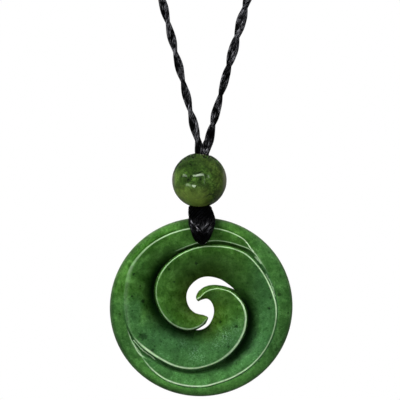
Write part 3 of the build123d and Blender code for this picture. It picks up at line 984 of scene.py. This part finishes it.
def add_rim(shape, arm, start, end):
    """The rim outside an arm's lip, from its front round the edge to the back."""
    before = None
    for turn in range(start, end + 1):
        share, lip_h = arm.inner(turn) if turn == arm.end else arm.lip(turn)
        radius = disc_radius(turn)
        lip_out, lip_rise = share * radius / 100, lip_h * crest_rise / 100
        line = [(lip_out, lip_rise)]
        for out, drop in RIM_FRONT:
            line.append((lip_out + (radius - lip_out) * out, lip_rise + (rim_rise - lip_rise) * drop))
        line.append((radius, rim_rise))
        line += [(radius - rim_roll * inward, back_depth * depth) for inward, depth in RIM_EDGE]
        line.append((lip_out, -back_depth))
        corners = [on_disc(turn, *p) for p in line]
        near = list(RIM_NEAR) + [0.0] * (len(line) - len(RIM_NEAR))
        pale = 0.0 if turn == arm.end else arm.painted_lip_glint(turn)
        shade = 0.0 if turn == arm.end else arm.valley_shade(turn, lip_out)
        # The rim's values: the lip's painted highlight and painted shade, painted glow, the lashing's
        # painted shadow and painted shade along the border.
        row = shape.line(
            corners,
            ridge=[pale * share for share in near],
            cool=[(0.5 + 0.5 * share) * coolness(c) for share, c in zip(near, corners)],
            thin=[(0.85 - 0.55 * share) * glowing(c) for share, c in zip(near, corners)],
            deep=[
                1 - (1 - shade * share)
                * (1 - (band_shade * share + rim_shade * (1 - share)) * beside_lashing(c))
                * (1 - border_shade(turn, radius - out))
                for share, c, (out, _) in zip(near, corners, line)
            ],
            edge=[edge_share * fade(out, radius - edge_reach, radius - 0.05) for out, _ in line],
        )
        if before:
            shape.strip(before, row)
        before = row


def make_disc():
    shape = Surface("ridge", "warm", "cool", "deep", "edge", "frost", "thin")
    add_arm(shape, arm_one)
    add_arm(shape, arm_two)
    add_rim(shape, arm_one, arm_two.end, arm_one.end)
    add_rim(shape, arm_two, arm_one.end - FULL_TURN, arm_two.end)
    made = mesh_piece("carved_disc", shape.corners, shape.faces, disc_stone, shape.fields)
    weld(made)
    return made


disc = make_disc()
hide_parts("koru_disc")
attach(disc, "root")


# The bead: a ball with a bore beside its middle, and chips around the upper mouth of the bore.
bead_seen_shift = -0.1    # the ball stands this far left of the solid's, as its outline shows
mouth_round = 0.18
low_bore_r = 0.9          # below, the cord fills the bore and only this much stays open
# The bead's paler bottom is painted light.
bottom_painted_light = 0.34        # how much paler the stone is at the bottom of the bead
upper_mouth_out = 0.12    # how far the corner of each mouth's rounding stands out
lower_mouth_out = 0.04
bead_uneven = 0.03
bead_around, bead_along = 144, 72
# Chips: across, up, radius, depth, how dark, how pale.
CHIPS = [
    (-1.40, 5.02, 0.42, 0.16, 0.95, 0.0),
    (-0.85, 5.45, 0.38, 0.14, 0.7, 0.0),
    (1.05, 5.20, 0.50, 0.20, 0.95, 0.0),
    (0.30, 5.50, 0.22, -0.06, 0.0, 0.55),
    (-0.30, 5.66, 0.30, 0.05, 0.2, 0.3),
    (0.80, 5.72, 0.30, 0.03, 0.0, 0.3),
    (1.60, 5.55, 0.34, 0.08, 0.6, 0.1),
    (-1.90, 5.50, 0.34, -0.04, 0.0, 0.2),
    (2.20, 5.15, 0.40, 0.08, 0.3, 0.0),
]


def chipped(across, up):
    """How deep, dark and pale the chips make a place of the bead's front."""
    deep = dark = pale = 0.0
    for chip_across, chip_up, radius, depth, chip_dark, chip_pale in CHIPS:
        away = math.hypot(across - chip_across, up - chip_up)
        if away < radius:
            share = (1 - (away / radius) ** 2) ** 2
            deep += depth * share
            dark = max(dark, chip_dark * share)
            pale = max(pale, chip_pale * share)
    return deep, dark, pale


def make_bead():
    bore = stem_d / 2 + gap
    ball = bead_d / 2
    shape = Surface("ridge", "warm", "cool", "deep", "spot", "edge")
    aside = bead_offset + bead_seen_shift
    centre = cord_axis + aside
    rows = []
    for i in range(bead_around):
        side = math.radians(FULL_TURN * i / bead_around)
        shift = aside * math.cos(side)
        reach = math.sqrt(ball**2 - (aside * math.sin(side)) ** 2)
        first = math.asin((bore + mouth_round - shift) / reach)
        last = math.pi - math.asin((low_bore_r + mouth_round - shift) / reach)
        line = []
        for j in range(bead_along + 1):
            a = first + (last - first) * j / bead_along
            line.append((shift + reach * math.sin(a), reach * math.cos(a)))
        mouth = line[0][1] + upper_mouth_out
        top = bend((bore, mouth - 2 * mouth_round), (bore, mouth), line[0], ROUND_STEPS)
        mouth = line[-1][1] - lower_mouth_out
        bottom = bend(line[-1], (low_bore_r, mouth), (low_bore_r, mouth + 2 * mouth_round), ROUND_STEPS)
        wall = between(bottom[-1], top[0], 2 * WALL_STEPS)
        line = top[:-1] + line + bottom[1:] + wall
        corners = []
        values = {name: [] for name in shape.fields}
        for r, z in line:
            x, y = cord_axis + r * math.cos(side), r * math.sin(side)
            across = x - centre
            outward = Vector((across, y, z)).normalized()
            push = bead_uneven * noise.noise(Vector((x, y, z)) * 0.9)
            chip, dark, pale = chipped(across, z) if y < 0 and r > bore else (0.0, 0.0, 0.0)
            moved = Vector((x, y, z)) + outward * (push - chip)
            corners.append((moved.x, hang_y + moved.y, bead_z + moved.z))
            values["spot"].append(dark)
            below = fade(-z, 0.5, 4.5)
            # Painted light: the bottom of the bead is paler.
            values["ridge"].append(bottom_painted_light * below * (1 - fade(across, 0.5, 2.5)))
            # Warmer and paler to the right, below and at the upper right: the stone's browner tone,
            # partly painted light where the lamps leave the ball dim.
            right, upper = 0.8 * fade(across, 2.2, 5.6), 0.3 * fade(across + z, 3, 6)
            values["warm"].append(max(right, 0.9 * below, upper))
            green = 0.9 * fade(4.2 - math.hypot(across + 0.4, z - 2.0), 0, 2)
            values["cool"].append(green if y < 0 else 0.2)
            # Painted shade inside the bore, towards the top of the ball and at its lower right.
            inside = 0.9 if r < bore + 0.05 else 0.0
            shadow = max(fade(z, 0.4, 4.6), 0.8 * fade(across - z, 5.0, 7.4))
            values["deep"].append(max(inside, shadow))
            # Painted sheen along the ball's left and right outline.
            rim = 0.7 * max(fade(across, 4.9, 5.8), 0.6 * fade(-across, 5.0, 5.8))
            values["edge"].append(max(rim, pale))
        rows.append(shape.line(corners, **values))
    for left, right in zip(rows, rows[1:] + rows[:1]):
        shape.strip(left, right, closed=True)
    made = mesh_piece("stone_bead", shape.corners, shape.faces, bead_stone, shape.fields)
    weld(made)
    return made


bead = make_bead()
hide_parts("bead")
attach(bead, "root")


def spline_points(route, resolution):
    """Points of a smooth spline that has the route's points as its controls, in millimetres."""
    curve = bpy.data.curves.new("route", "CURVE")
    curve.dimensions = "3D"
    spline = curve.splines.new("NURBS")
    spline.points.add(len(route) - 1)
    for control, place in zip(spline.points, route):
        control.co = (*point(*place), 1)
    spline.order_u = 3
    spline.use_endpoint_u = True
    spline.resolution_u = resolution
    carrier = bpy.data.objects.new("route", curve)
    bpy.context.scene.collection.objects.link(carrier)
    read = bpy.data.meshes.new_from_object(carrier)
    points = [v.co / MM for v in read.vertices]
    bpy.data.objects.remove(carrier)
    bpy.data.meshes.remove(read)
    return points


def evenly(points, step):
    """Points at even distances along a line of points, and those distances."""
    lengths = [0.0]
    for a, b in zip(points, points[1:]):
        lengths.append(lengths[-1] + (b - a).length)
    count = max(2, round(lengths[-1] / step))
    made, places = [], []
    i = 0
    for k in range(count + 1):
        want = lengths[-1] * k / count
        while i < len(points) - 2 and lengths[i + 1] < want:
            i += 1
        span = lengths[i + 1] - lengths[i]
        made.append(points[i].lerp(points[i + 1], (want - lengths[i]) / span if span else 0))
        places.append(want)
    return made, places


def frames_along(points, across):
    """At each point the line's direction and two directions across it, turning as little as can be."""
    made = []
    for i, p in enumerate(points):
        ahead = points[min(i + 1, len(points) - 1)] - points[max(i - 1, 0)]
        ahead.normalize()
        across = (across - ahead * across.dot(ahead)).normalized()
        made.append((ahead, across, ahead.cross(across)))
    return made


thread_run = 0.2          # how fast the pattern of fine threads moves on along a strand


def plain_shine(place):
    return 0.5


def add_strand(
    shape, points, places, radius_at, across,
    ply_length, start, lobe=0.05, sides=14, shine_at=plain_shine,
):
    """A round strand of three plies along the points, with closed ends."""
    rows = []
    for p, s, (ahead, u, v) in zip(points, places, frames_along(points, across)):
        radius = radius_at(s)
        wind = 2 * math.pi * s / ply_length + start
        corners, threads = [], []
        for j in range(sides):
            a = 2 * math.pi * j / sides
            r = radius * (1 - lobe + lobe * math.cos(3 * (a - wind)))
            corners.append(tuple(p + u * (r * math.cos(a)) + v * (r * math.sin(a))))
            threads.append((math.cos(a - wind), math.sin(a - wind), thread_run * s + start))
        shines = [shine_at(Vector(corner)) for corner in corners]
        rows.append(shape.line(corners, thread=threads, shine=shines))
    shape.tube(rows)


# The lashing. Loops of thin cord pass through the hole and over the rim in a fan, shorter strands
# cross over them in front and behind, and upright strands join the fan to the bead.
lash_strand_d = 0.60
lash_step = 0.12          # distance between the rings of a strand
fan_scatter_up, fan_scatter_out = 0.05, 0.08
rear_inset = 0.15         # the loops lie this much closer to the stone behind
strand_inset = 0.2        # and the upright strands this much inside their route
FAN_COUNT = 12
# Half of each loop, from inside the hole up the front to the top of the rim: spread at the
# outermost loop, height above the hole's middle, distance in front of the stone's middle plane.
FAN_ROUTE = [
    (0.70, -0.30, 1.2),
    (1.02, -0.55, 3.0),
    (1.42, -0.15, 3.7),
    (2.00, 1.10, 3.8),
    (2.40, 2.40, 3.7),
    (2.72, 3.60, 3.5),
    (2.66, 4.60, 2.7),
    (2.45, 5.10, 1.0),
]
tip_drop = 0.45           # the middle loops leave the hole this much lower than the outermost
# The strands that cross in front: across and height from the hole's middle, distance in front.
CROSS_ROUTES = [
    [
        (-2.6, 4.3, 3.5), (-2.2, 3.3, 4.05), (-1.3, 2.35, 4.45),
        (-0.1, 1.25, 4.5), (0.55, 0.3, 4.1), (0.6, -0.3, 2.8),
    ],
    [
        (2.6, 4.3, 3.5), (2.3, 3.2, 4.05), (1.5, 2.1, 4.4),
        (0.5, 0.95, 4.35), (-0.2, 0.1, 4.0), (-0.3, -0.4, 2.8),
    ],
    [
        (-2.7, 3.4, 3.5), (-2.4, 2.4, 4.0), (-1.65, 1.5, 4.3),
        (-0.6, 0.4, 4.3), (0.1, -0.5, 3.9), (0.2, -0.6, 2.8),
    ],
    [
        (2.72, 3.5, 3.5), (2.35, 2.3, 4.0), (1.75, 1.3, 4.25),
        (0.9, 0.3, 4.15), (0.25, -0.55, 3.8), (0.2, -0.7, 2.8),
    ],
    [
        (-0.7, 4.4, 3.6), (-0.45, 3.5, 4.1), (-0.1, 2.7, 4.3),
        (0.35, 1.8, 4.3), (0.5, 0.8, 4.0), (0.4, 0.0, 2.8),
    ],
    [
        (1.6, 4.4, 3.6), (1.45, 3.5, 4.1), (0.95, 2.6, 4.35),
        (0.55, 1.7, 4.3), (0.2, 0.7, 4.0), (0.2, 0.0, 2.8),
    ],
]
NECK_COUNT = 20
neck_twist = 55
# Upright strands: share of the way up from the rim's top to the bead, half width, half depth.
NECK_ROUTE_UP = [
    (-0.3, 2.85, 3.75), (0.12, 2.84, 3.35), (0.45, 2.78, 2.8), (0.75, 2.62, 2.3), (1.0, 2.45, 1.6),
    (1.1, 2.0, 1.2), (1.2, 1.4, 0.8),
]
neck_shift = -0.59        # the upright strands stand this far left of the bead's bore
# Where the threads shine in front: from across and up, to across and up (from the hole's
# middle), half width and strength.
GLINTS = [
    (-2.40, 3.85, -1.95, 3.20, 0.10, 0.7), (-1.40, 2.75, -0.50, 1.85, 0.11, 1.0),
    (-2.50, 3.20, -2.15, 2.50, 0.08, 0.6), (-2.40, 2.30, -2.05, 1.75, 0.08, 0.5),
    (-1.20, 1.90, -0.85, 1.65, 0.09, 0.6), (-0.75, 3.05, -0.60, 2.75, 0.13, 0.6),
    (-0.30, 3.00, -0.20, 2.40, 0.09, 0.6), (1.45, 3.55, 0.65, 2.60, 0.20, 0.42),
    (0.55, 3.10, 0.10, 2.10, 0.16, 0.5), (1.95, 2.45, 1.35, 1.55, 0.18, 0.4),
    (-1.80, 3.60, -1.10, 2.60, 0.09, 0.45), (1.90, 3.20, 1.30, 2.40, 0.10, 0.3),
]


def make_lashing():
    chance = random.Random(4)
    shape = Surface("thread", "shine")

    def shine_at(p):
        across, up = p.x - lash_offset, p.z - hole_z
        most = 0.03 * fade(up, 0.5, 2.0) * (1 - fade(up, 3.5, 5.0))
        for x0, z0, x1, z1, wide, strength in GLINTS:
            run = Vector((x1 - x0, z1 - z0))
            along = min(1, max(0, (Vector((across - x0, up - z0)).dot(run)) / run.length_squared))
            away = math.hypot(across - x0 - run.x * along, up - z0 - run.y * along)
            most = max(most, strength * (1 - fade(away, 0.5 * wide, 1.8 * wide)))
        return most

    def lay(route, start):
        points, places = evenly(spline_points(route, 16), lash_step)
        add_strand(
            shape, points, places, lambda s: lash_strand_d / 2, Vector((1, 0.2, 0)),
            ply_length=2.6, lobe=0.07, sides=12, start=start, shine_at=shine_at,
        )

    for k in range(FAN_COUNT):
        t = 2 * k / (FAN_COUNT - 1) - 1
        front, rear = [], []
        for spread, height, out in FAN_ROUTE:
            x = lash_offset + spread * t
            low = tip_drop * (1 - abs(t)) if height < 0.5 else 0
            z = hole_z + height - low + chance.uniform(-fan_scatter_up, fan_scatter_up)
            out = out + chance.uniform(-fan_scatter_out, fan_scatter_out)
            front.append((x, hang_y - out, z))
            behind = out + stone_half - crest_rise - rear_inset
            rear.append((x, 2 * stone_middle_y - hang_y + behind, z))
        lay(front + rear[::-1], start=chance.uniform(0, 6))
    for sign in (1, -1):
        for route in CROSS_ROUTES:
            lay([
                (
                    lash_offset + x * sign,
                    stone_middle_y - sign * (out - crest_rise + stone_half),
                    hole_z + z,
                )
                for x, z, out in route
            ], start=chance.uniform(0, 6))
    for k in range(NECK_COUNT):
        base = FULL_TURN * k / NECK_COUNT + chance.uniform(-3, 3)
        route = []
        for share, wide, deep in NECK_ROUTE_UP:
            a = math.radians(base + neck_twist * share)
            z = rim_top_z + (lash_top_z - rim_top_z) * share
            middle = lash_offset + (cord_axis + neck_shift - lash_offset) * share
            x, y = (wide - strand_inset) * math.cos(a), (deep - strand_inset) * math.sin(a)
            if share > 0.9:
                # The ends lie against the bead.
                from_bead = math.hypot(
                    middle + x - cord_axis - bead_offset, stone_middle_y + y - hang_y
                )
                z = bead_z - math.sqrt((bead_d / 2 + lash_strand_d / 2 - 0.1) ** 2 - from_bead**2)
            route.append((middle + x, stone_middle_y + y, z))
        lay(route, start=chance.uniform(0, 6))
    return mesh_piece("lashing_strands", shape.corners, shape.faces, lashing_black, shape.fields)


# The wound cord beneath the strands: height above the tip, half width, how far it stands in
# front of and behind the stone, how far left of the lashing's middle, and how much higher it is
# at its sides. The last rows make the dish that the bead rests in.
CORE_SECTIONS = [
    (0.25, 0.3, 0.3, 0.0, 0.0), (0.7, 0.75, 0.55, 0.0, 0.0), (1.25, 1.15, 0.8, 0.0, 0.0),
    (2.4, 1.8, 0.9, 0.0, 0.0), (3.55, 2.3, 0.85, 0.0, 0.0), (4.75, 2.6, 0.6, 0.0, 0.0),
    (5.55, 2.6, 0.1, 0.05, 0.0), (6.3, 2.55, -0.4, 0.15, 0.0), (7.1, 2.42, -0.75, 0.3, 0.15),
    (7.5, 2.35, -1.1, 0.4, 0.35), (7.75, 2.25, -1.4, 0.44, 0.6), (7.6, 1.5, -1.7, 0.45, 0.45),
    (7.5, 0.6, -2.15, 0.5, 0.3),
]
# The bundle of cord that fills the hole: distance in front of and behind the stone, radius.
PLUG_SECTIONS = [(0.75, 0.35), (0.6, 0.8), (0.3, 1.12), (-0.1, 1.3)]
seen_hole_d = 2.7         # the hole as the bundle leaves it open to view
core_squareness = 0.75    # 1 would make the core's sections ovals
core_sides, plug_sides = 40, 32


def make_lashing_core():
    tip_z = hole_z - lash_tip
    shape = Surface("thread", "shine")
    rows = []
    for rise, wide, proud, left, lift in CORE_SECTIONS:
        corners, threads = [], []
        for j in range(core_sides):
            a = 2 * math.pi * j / core_sides
            c, s = math.cos(a), math.sin(a)
            x = math.copysign(abs(c) ** core_squareness, c) * wide - left
            y = math.copysign(abs(s) ** core_squareness, s) * (stone_half + proud)
            z = tip_z + rise + lift * c * c
            corners.append((lash_offset + x, stone_middle_y + y, z))
            threads.append((c, s, thread_run * z))
        rows.append(shape.line(corners, thread=threads))
    shape.tube(rows)
    made = mesh_piece("lashing_core", shape.corners, shape.faces, lashing_black, shape.fields)
    slot_half = stone_half + gap
    slot_top = rim_top_z + gap
    cutter = box_piece(
        (lash_offset - lash_width, stone_middle_y - slot_half, slot_top - disc_length),
        (lash_offset + lash_width, stone_middle_y + slot_half, slot_top),
    )
    cut_away(made, cutter)
    return made


def make_lashing_plug():
    ends = [(stone_half + proud, radius) for proud, radius in PLUG_SECTIONS]
    line = ends + [(-out, radius) for out, radius in reversed(ends)]
    shape = Surface("thread", "shine")
    rows = []
    for out, radius in line:
        round_way = [2 * math.pi * j / plug_sides for j in range(plug_sides)]
        spokes = [(math.cos(a), math.sin(a)) for a in round_way]
        corners = [
            (lash_offset + radius * c, stone_middle_y - out, hole_z + radius * s) for c, s in spokes
        ]
        rows.append(shape.line(corners, thread=[(c, s, thread_run * out) for c, s in spokes]))
    shape.tube(rows)
    made = mesh_piece("lashing_plug", shape.corners, shape.faces, lashing_black, shape.fields)
    weld(made)
    return made


def cutter_piece(work):
    """A piece that only cuts another."""
    mesh = bpy.data.meshes.new("cutter")
    work.to_mesh(mesh)
    work.free()
    made = bpy.data.objects.new("cutter", mesh)
    bpy.context.scene.collection.objects.link(made)
    return made


def box_piece(lowest, highest):
    work = bmesh.new()
    bmesh.ops.create_cube(work, size=1.0)
    low_at, high_at = point(*lowest), point(*highest)
    for v in work.verts:
        v.co = [a + (b - a) * (c + 0.5) for a, b, c in zip(low_at, high_at, v.co)]
    return cutter_piece(work)


def rod_piece(centre, radius, length):
    """A rod along Y."""
    work = bmesh.new()
    turn = Matrix.Rotation(math.radians(90), 4, "X")
    bmesh.ops.create_cone(
        work, cap_ends=True, segments=48, radius1=radius * MM, radius2=radius * MM,
        depth=length * MM, matrix=Matrix.Translation(point(*centre)) @ turn,
    )
    return cutter_piece(work)


def cut_away(made, cutter):
    """Cuts one piece out of another and removes the cutter."""
    cut = made.modifiers.new("cut", "BOOLEAN")
    cut.object = cutter
    cut.solver = "EXACT"
    apply_modifiers(made)
    bpy.data.objects.remove(cutter)


def apply_modifiers(made):
    """Replaces a piece's mesh by what its modifiers make of it."""
    graph = bpy.context.evaluated_depsgraph_get()
    changed = bpy.data.meshes.new_from_object(made.evaluated_get(graph))
    old = made.data
    made.modifiers.clear()
    made.data = changed
    changed.name = made.name
    bpy.data.meshes.remove(old)


through_disc = 20         # length of the rod that opens the small hole
cut_away(disc, rod_piece((lash_offset, hang_y, hole_z), seen_hole_d / 2, through_disc))

lashing = make_lashing()
lashing_core = make_lashing_core()
lashing_plug = make_lashing_plug()
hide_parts("lashing")
for piece in (lashing, lashing_core, lashing_plug):
    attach(piece, "root")


# Middle line of the neck cord, from the bead up the left side, round the nape and down again.
NECK_ROUTE = [
    (-0.35, hang_y, -263.5),
    (-0.4, hang_y, -260.2),
    (-0.5, hang_y, -257.6),
    (-0.95, hang_y, -254.6),
    (-2.4, hang_y, -248.9),
    (-7.7, hang_y, -228),
    (-21.8, -107.5, -174),
    (-36.5, -105.5, -121),
    (-49.5, -98, -72),
    (-57, -76, -35),
    (-56.5, -42, -13),
    (-40, -13, -3),
    (-14, 1.05, 0),
    (14, 1.05, 0),
    (40.5, -13, -3),
    (56.8, -42, -13),
    (57.5, -76, -35),
    (50.5, -98, -72),
    (38.3, -105.5, -121),
    (24, -107.5, -174),
    (9.2, hang_y, -228),
    (3.3, hang_y, -248.9),
    (1.85, hang_y, -254.8),
    (1.25, hang_y, -257.8),
    (1.05, hang_y, -260.2),
    (1.05, hang_y, -263.5),
]
neck_strand_d = 1.02
neck_pair_gap = 0.90      # between the middles of the two strands
half_twist = 6.66         # length of cord in which the strands change sides
neck_ply_length = 13      # length in which a strand's own plies go round once
neck_step, stem_step = 0.4, 0.25
cord_uneven = 0.05        # share by which the cord's thickness and looseness wander
# Two more strands fill the stem and end behind the legs.
STEM_ROUTES = [
    [(-0.1, hang_y - 0.25, -263.5), (0.0, hang_y - 0.25, -258.6), (0.05, hang_y, -257.0),
     (-0.3, hang_y + 0.45, -255.9), (-0.75, hang_y + 0.9, -254.9), (-1.3, hang_y + 0.95, -253.0)],
    [(0.7, hang_y - 0.25, -263.5), (0.7, hang_y - 0.25, -258.6), (0.5, hang_y, -257.0),
     (0.9, hang_y + 0.45, -255.9), (1.5, hang_y + 0.9, -254.9), (2.2, hang_y + 0.95, -253.0)],
]
# How thick and loose the cord is at a height, on the left and on the right, as shares.
WIDTH_COLUMNS = ("height", "left", "right")
CORD_WIDTHS = [
    (-300, 1.0, 1.0), (-257, 1.0, 1.0), (-255, 1.1, 1.12), (-251, 1.1, 1.18), (-248, 1.0, 1.0),
    (-242, 1.0, 1.0), (-239, 1.0, 1.15), (-232, 1.0, 1.22), (-222, 1.08, 1.16), (-215, 1.0, 1.0),
    (50, 1.0, 1.0),
]
left_wide_z = -239.1      # here the strands of the left side lie side by side
right_wide_z = -235.7     # and here those of the right side


def make_neck_cord():
    points, places = evenly(spline_points(NECK_ROUTE, 40), neck_step)
    turns = frames_along(points, Vector((1, 0, 0)))

    def angle_of_side(i):
        """Angle of the sideways direction in the frame at a point."""
        _, u, v = turns[i]
        return math.atan2(v.x, u.x)

    half_way = len(points) // 2
    left = min(range(half_way), key=lambda i: abs(points[i].z - left_wide_z))
    right = min(range(half_way, len(points)), key=lambda i: abs(points[i].z - right_wide_z))
    span = places[right] - places[left]
    change = angle_of_side(right) - angle_of_side(left)
    count = round((math.pi * span / half_twist - change) / math.pi)
    rate = (count * math.pi + change) / span
    shape = Surface("thread", "shine")

    def radius_at(s):
        p = points[min(round(s / places[1]), len(points) - 1)]
        side = "left" if p.x < 0 else "right"
        uneven = 1 + cord_uneven * noise.noise(Vector((s * 0.3, 9.1, 5)))
        return neck_strand_d / 2 * uneven * follow(WIDTH_COLUMNS, CORD_WIDTHS, side, p.z)

    for k in range(2):
        line = []
        for p, s, (ahead, u, v) in zip(points, places, turns):
            a = angle_of_side(left) + rate * (s - places[left]) + math.pi * k
            loose = 1 + cord_uneven * noise.noise(Vector((s * 0.11, 3.7, 0)))
            side = "left" if p.x < 0 else "right"
            off = neck_pair_gap / 2 * loose * follow(WIDTH_COLUMNS, CORD_WIDTHS, side, p.z)
            line.append(p + u * (off * math.cos(a)) + v * (off * math.sin(a)))
        add_strand(
            shape, line, places, radius_at, Vector((1, 0, 0)), ply_length=neck_ply_length, start=k * 1.7,
        )
    for k, route in enumerate(STEM_ROUTES):
        line, steps = evenly(spline_points(route, 24), stem_step)
        add_strand(
            shape, line, steps, lambda s: neck_strand_d / 2, Vector((1, 0, 0)),
            ply_length=neck_ply_length, start=k * 2.1, shine_at=lambda p: 0.45,
        )
    return mesh_piece("neck_cord_strands", shape.corners, shape.faces, neck_cord_black, shape.fields)


neck_cord = make_neck_cord()
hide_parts("neck_cord")
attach(neck_cord, "root")


# Light: large soft panels that light everything but leave no reflection, and narrow bars that
# light the bead alone and show in its polish. The backdrop is white to the camera and dimmer to
# the stone. The columns are name, turn, elevation, distance, width, height, roll, watts, mirrored.
LIGHTS = [
    ("left", -64, 42, 650, 400, 300, 0, 1.28, False),
    ("right", 70, 40, 650, 400, 300, 0, 0.45, False),
    ("top", -8, 80, 650, 500, 300, 0, 0.80, False),
    ("under", 0, -27, 480, 420, 150, 0, 0.23, False),
    ("behind", 200, 35, 700, 500, 300, 0, 1.1, False),
    ("behind_side", 130, 10, 700, 300, 300, 0, 0.35, False),
    ("bar", -6, 20.8, 700, 640, 95, 7, 0.34, True),
    ("side_left", -66, 16, 700, 240, 95, 0, 0.042, True),
    ("side_right", 40, 15, 700, 120, 130, 0, 0.018, True),
    ("post", 20.5, -2, 700, 70, 480, 0, 0.022, True),
    ("low", -24, -20.5, 500, 125, 58, -22, 0.034, True),
    ("low_left", -50, -18, 500, 210, 90, 0, 0.034, True),
]
light_spread = 75         # degrees
bar_colour = (0.84, 1.0, 0.78)
bead_alone = bpy.data.collections.new("bead_alone")
bead_alone.objects.link(bead)
aim = point(*camera_aim)
for name, turn, elevation, distance, width, height, roll, watts, mirrored in LIGHTS:
    data = bpy.data.lights.new(name, "AREA")
    data.shape = "RECTANGLE"
    data.size = width * MM
    data.size_y = height * MM
    data.energy = watts
    data.spread = math.radians(light_spread)
    data.color = bar_colour if mirrored else (1, 1, 1)
    light = bpy.data.objects.new(name, data)
    a, e = math.radians(turn), math.radians(elevation)
    away = Vector((math.sin(a) * math.cos(e), -math.cos(a) * math.cos(e), math.sin(e)))
    light.location = aim + away * distance * MM
    facing = away.to_track_quat("Z", "Y") @ Quaternion((0, 0, 1), math.radians(roll))
    light.rotation_euler = facing.to_euler()
    light.visible_camera = False
    light.visible_glossy = mirrored
    if mirrored:
        light.light_linking.receiver_collection = bead_alone
    bpy.context.scene.collection.objects.link(light)

sky_colour = (0.93, 0.97, 1.0)
sky_strength = 0.09
world = bpy.data.worlds.new("studio")
world.use_nodes = True
bpy.context.scene.world = world
sky = Nodes(world.node_tree)
seen = sky.add("Background")
seen.inputs["Color"].default_value = rgb(1, 1, 1)
seen.inputs["Strength"].default_value = 1.0
lit = sky.add("Background")
lit.inputs["Color"].default_value = rgb(*sky_colour)
lit.inputs["Strength"].default_value = sky_strength
chosen = sky.add("MixShader")
sky.feed(chosen.inputs[0], sky.add("LightPath").outputs["Is Camera Ray"])
sky.feed(chosen.inputs[1], lit.outputs[0])
sky.feed(chosen.inputs[2], seen.outputs[0])
sky.feed(sky.add("OutputWorld").inputs[0], chosen.outputs[0])
bpy.context.scene.view_settings.view_transform = "Standard"

# The floor, well below the pendant and out of the main picture. It is pale by itself and throws
# no light on the object.
floor_drop = 520
floor_reach = 3000
floor_material, f = new_material("floor_paper")
paper = scaled_noise(f, f.position(), 0.05)
paper_colour = f.mix(paper, rgb(0.80, 0.80, 0.79), rgb(0.86, 0.86, 0.85))
f.surface(Base_Color=paper_colour, Roughness=0.8, Emission_Color=paper_colour, Emission_Strength=1.0)
floor_sides = ((-1, -1), (1, -1), (1, 1), (-1, 1))
floor_corners = [(x * floor_reach, y * floor_reach, -floor_drop) for x, y in floor_sides]
floor = mesh_piece("floor", floor_corners, [(0, 1, 2, 3)], floor_material)
floor.visible_glossy = False
floor.visible_diffuse = False
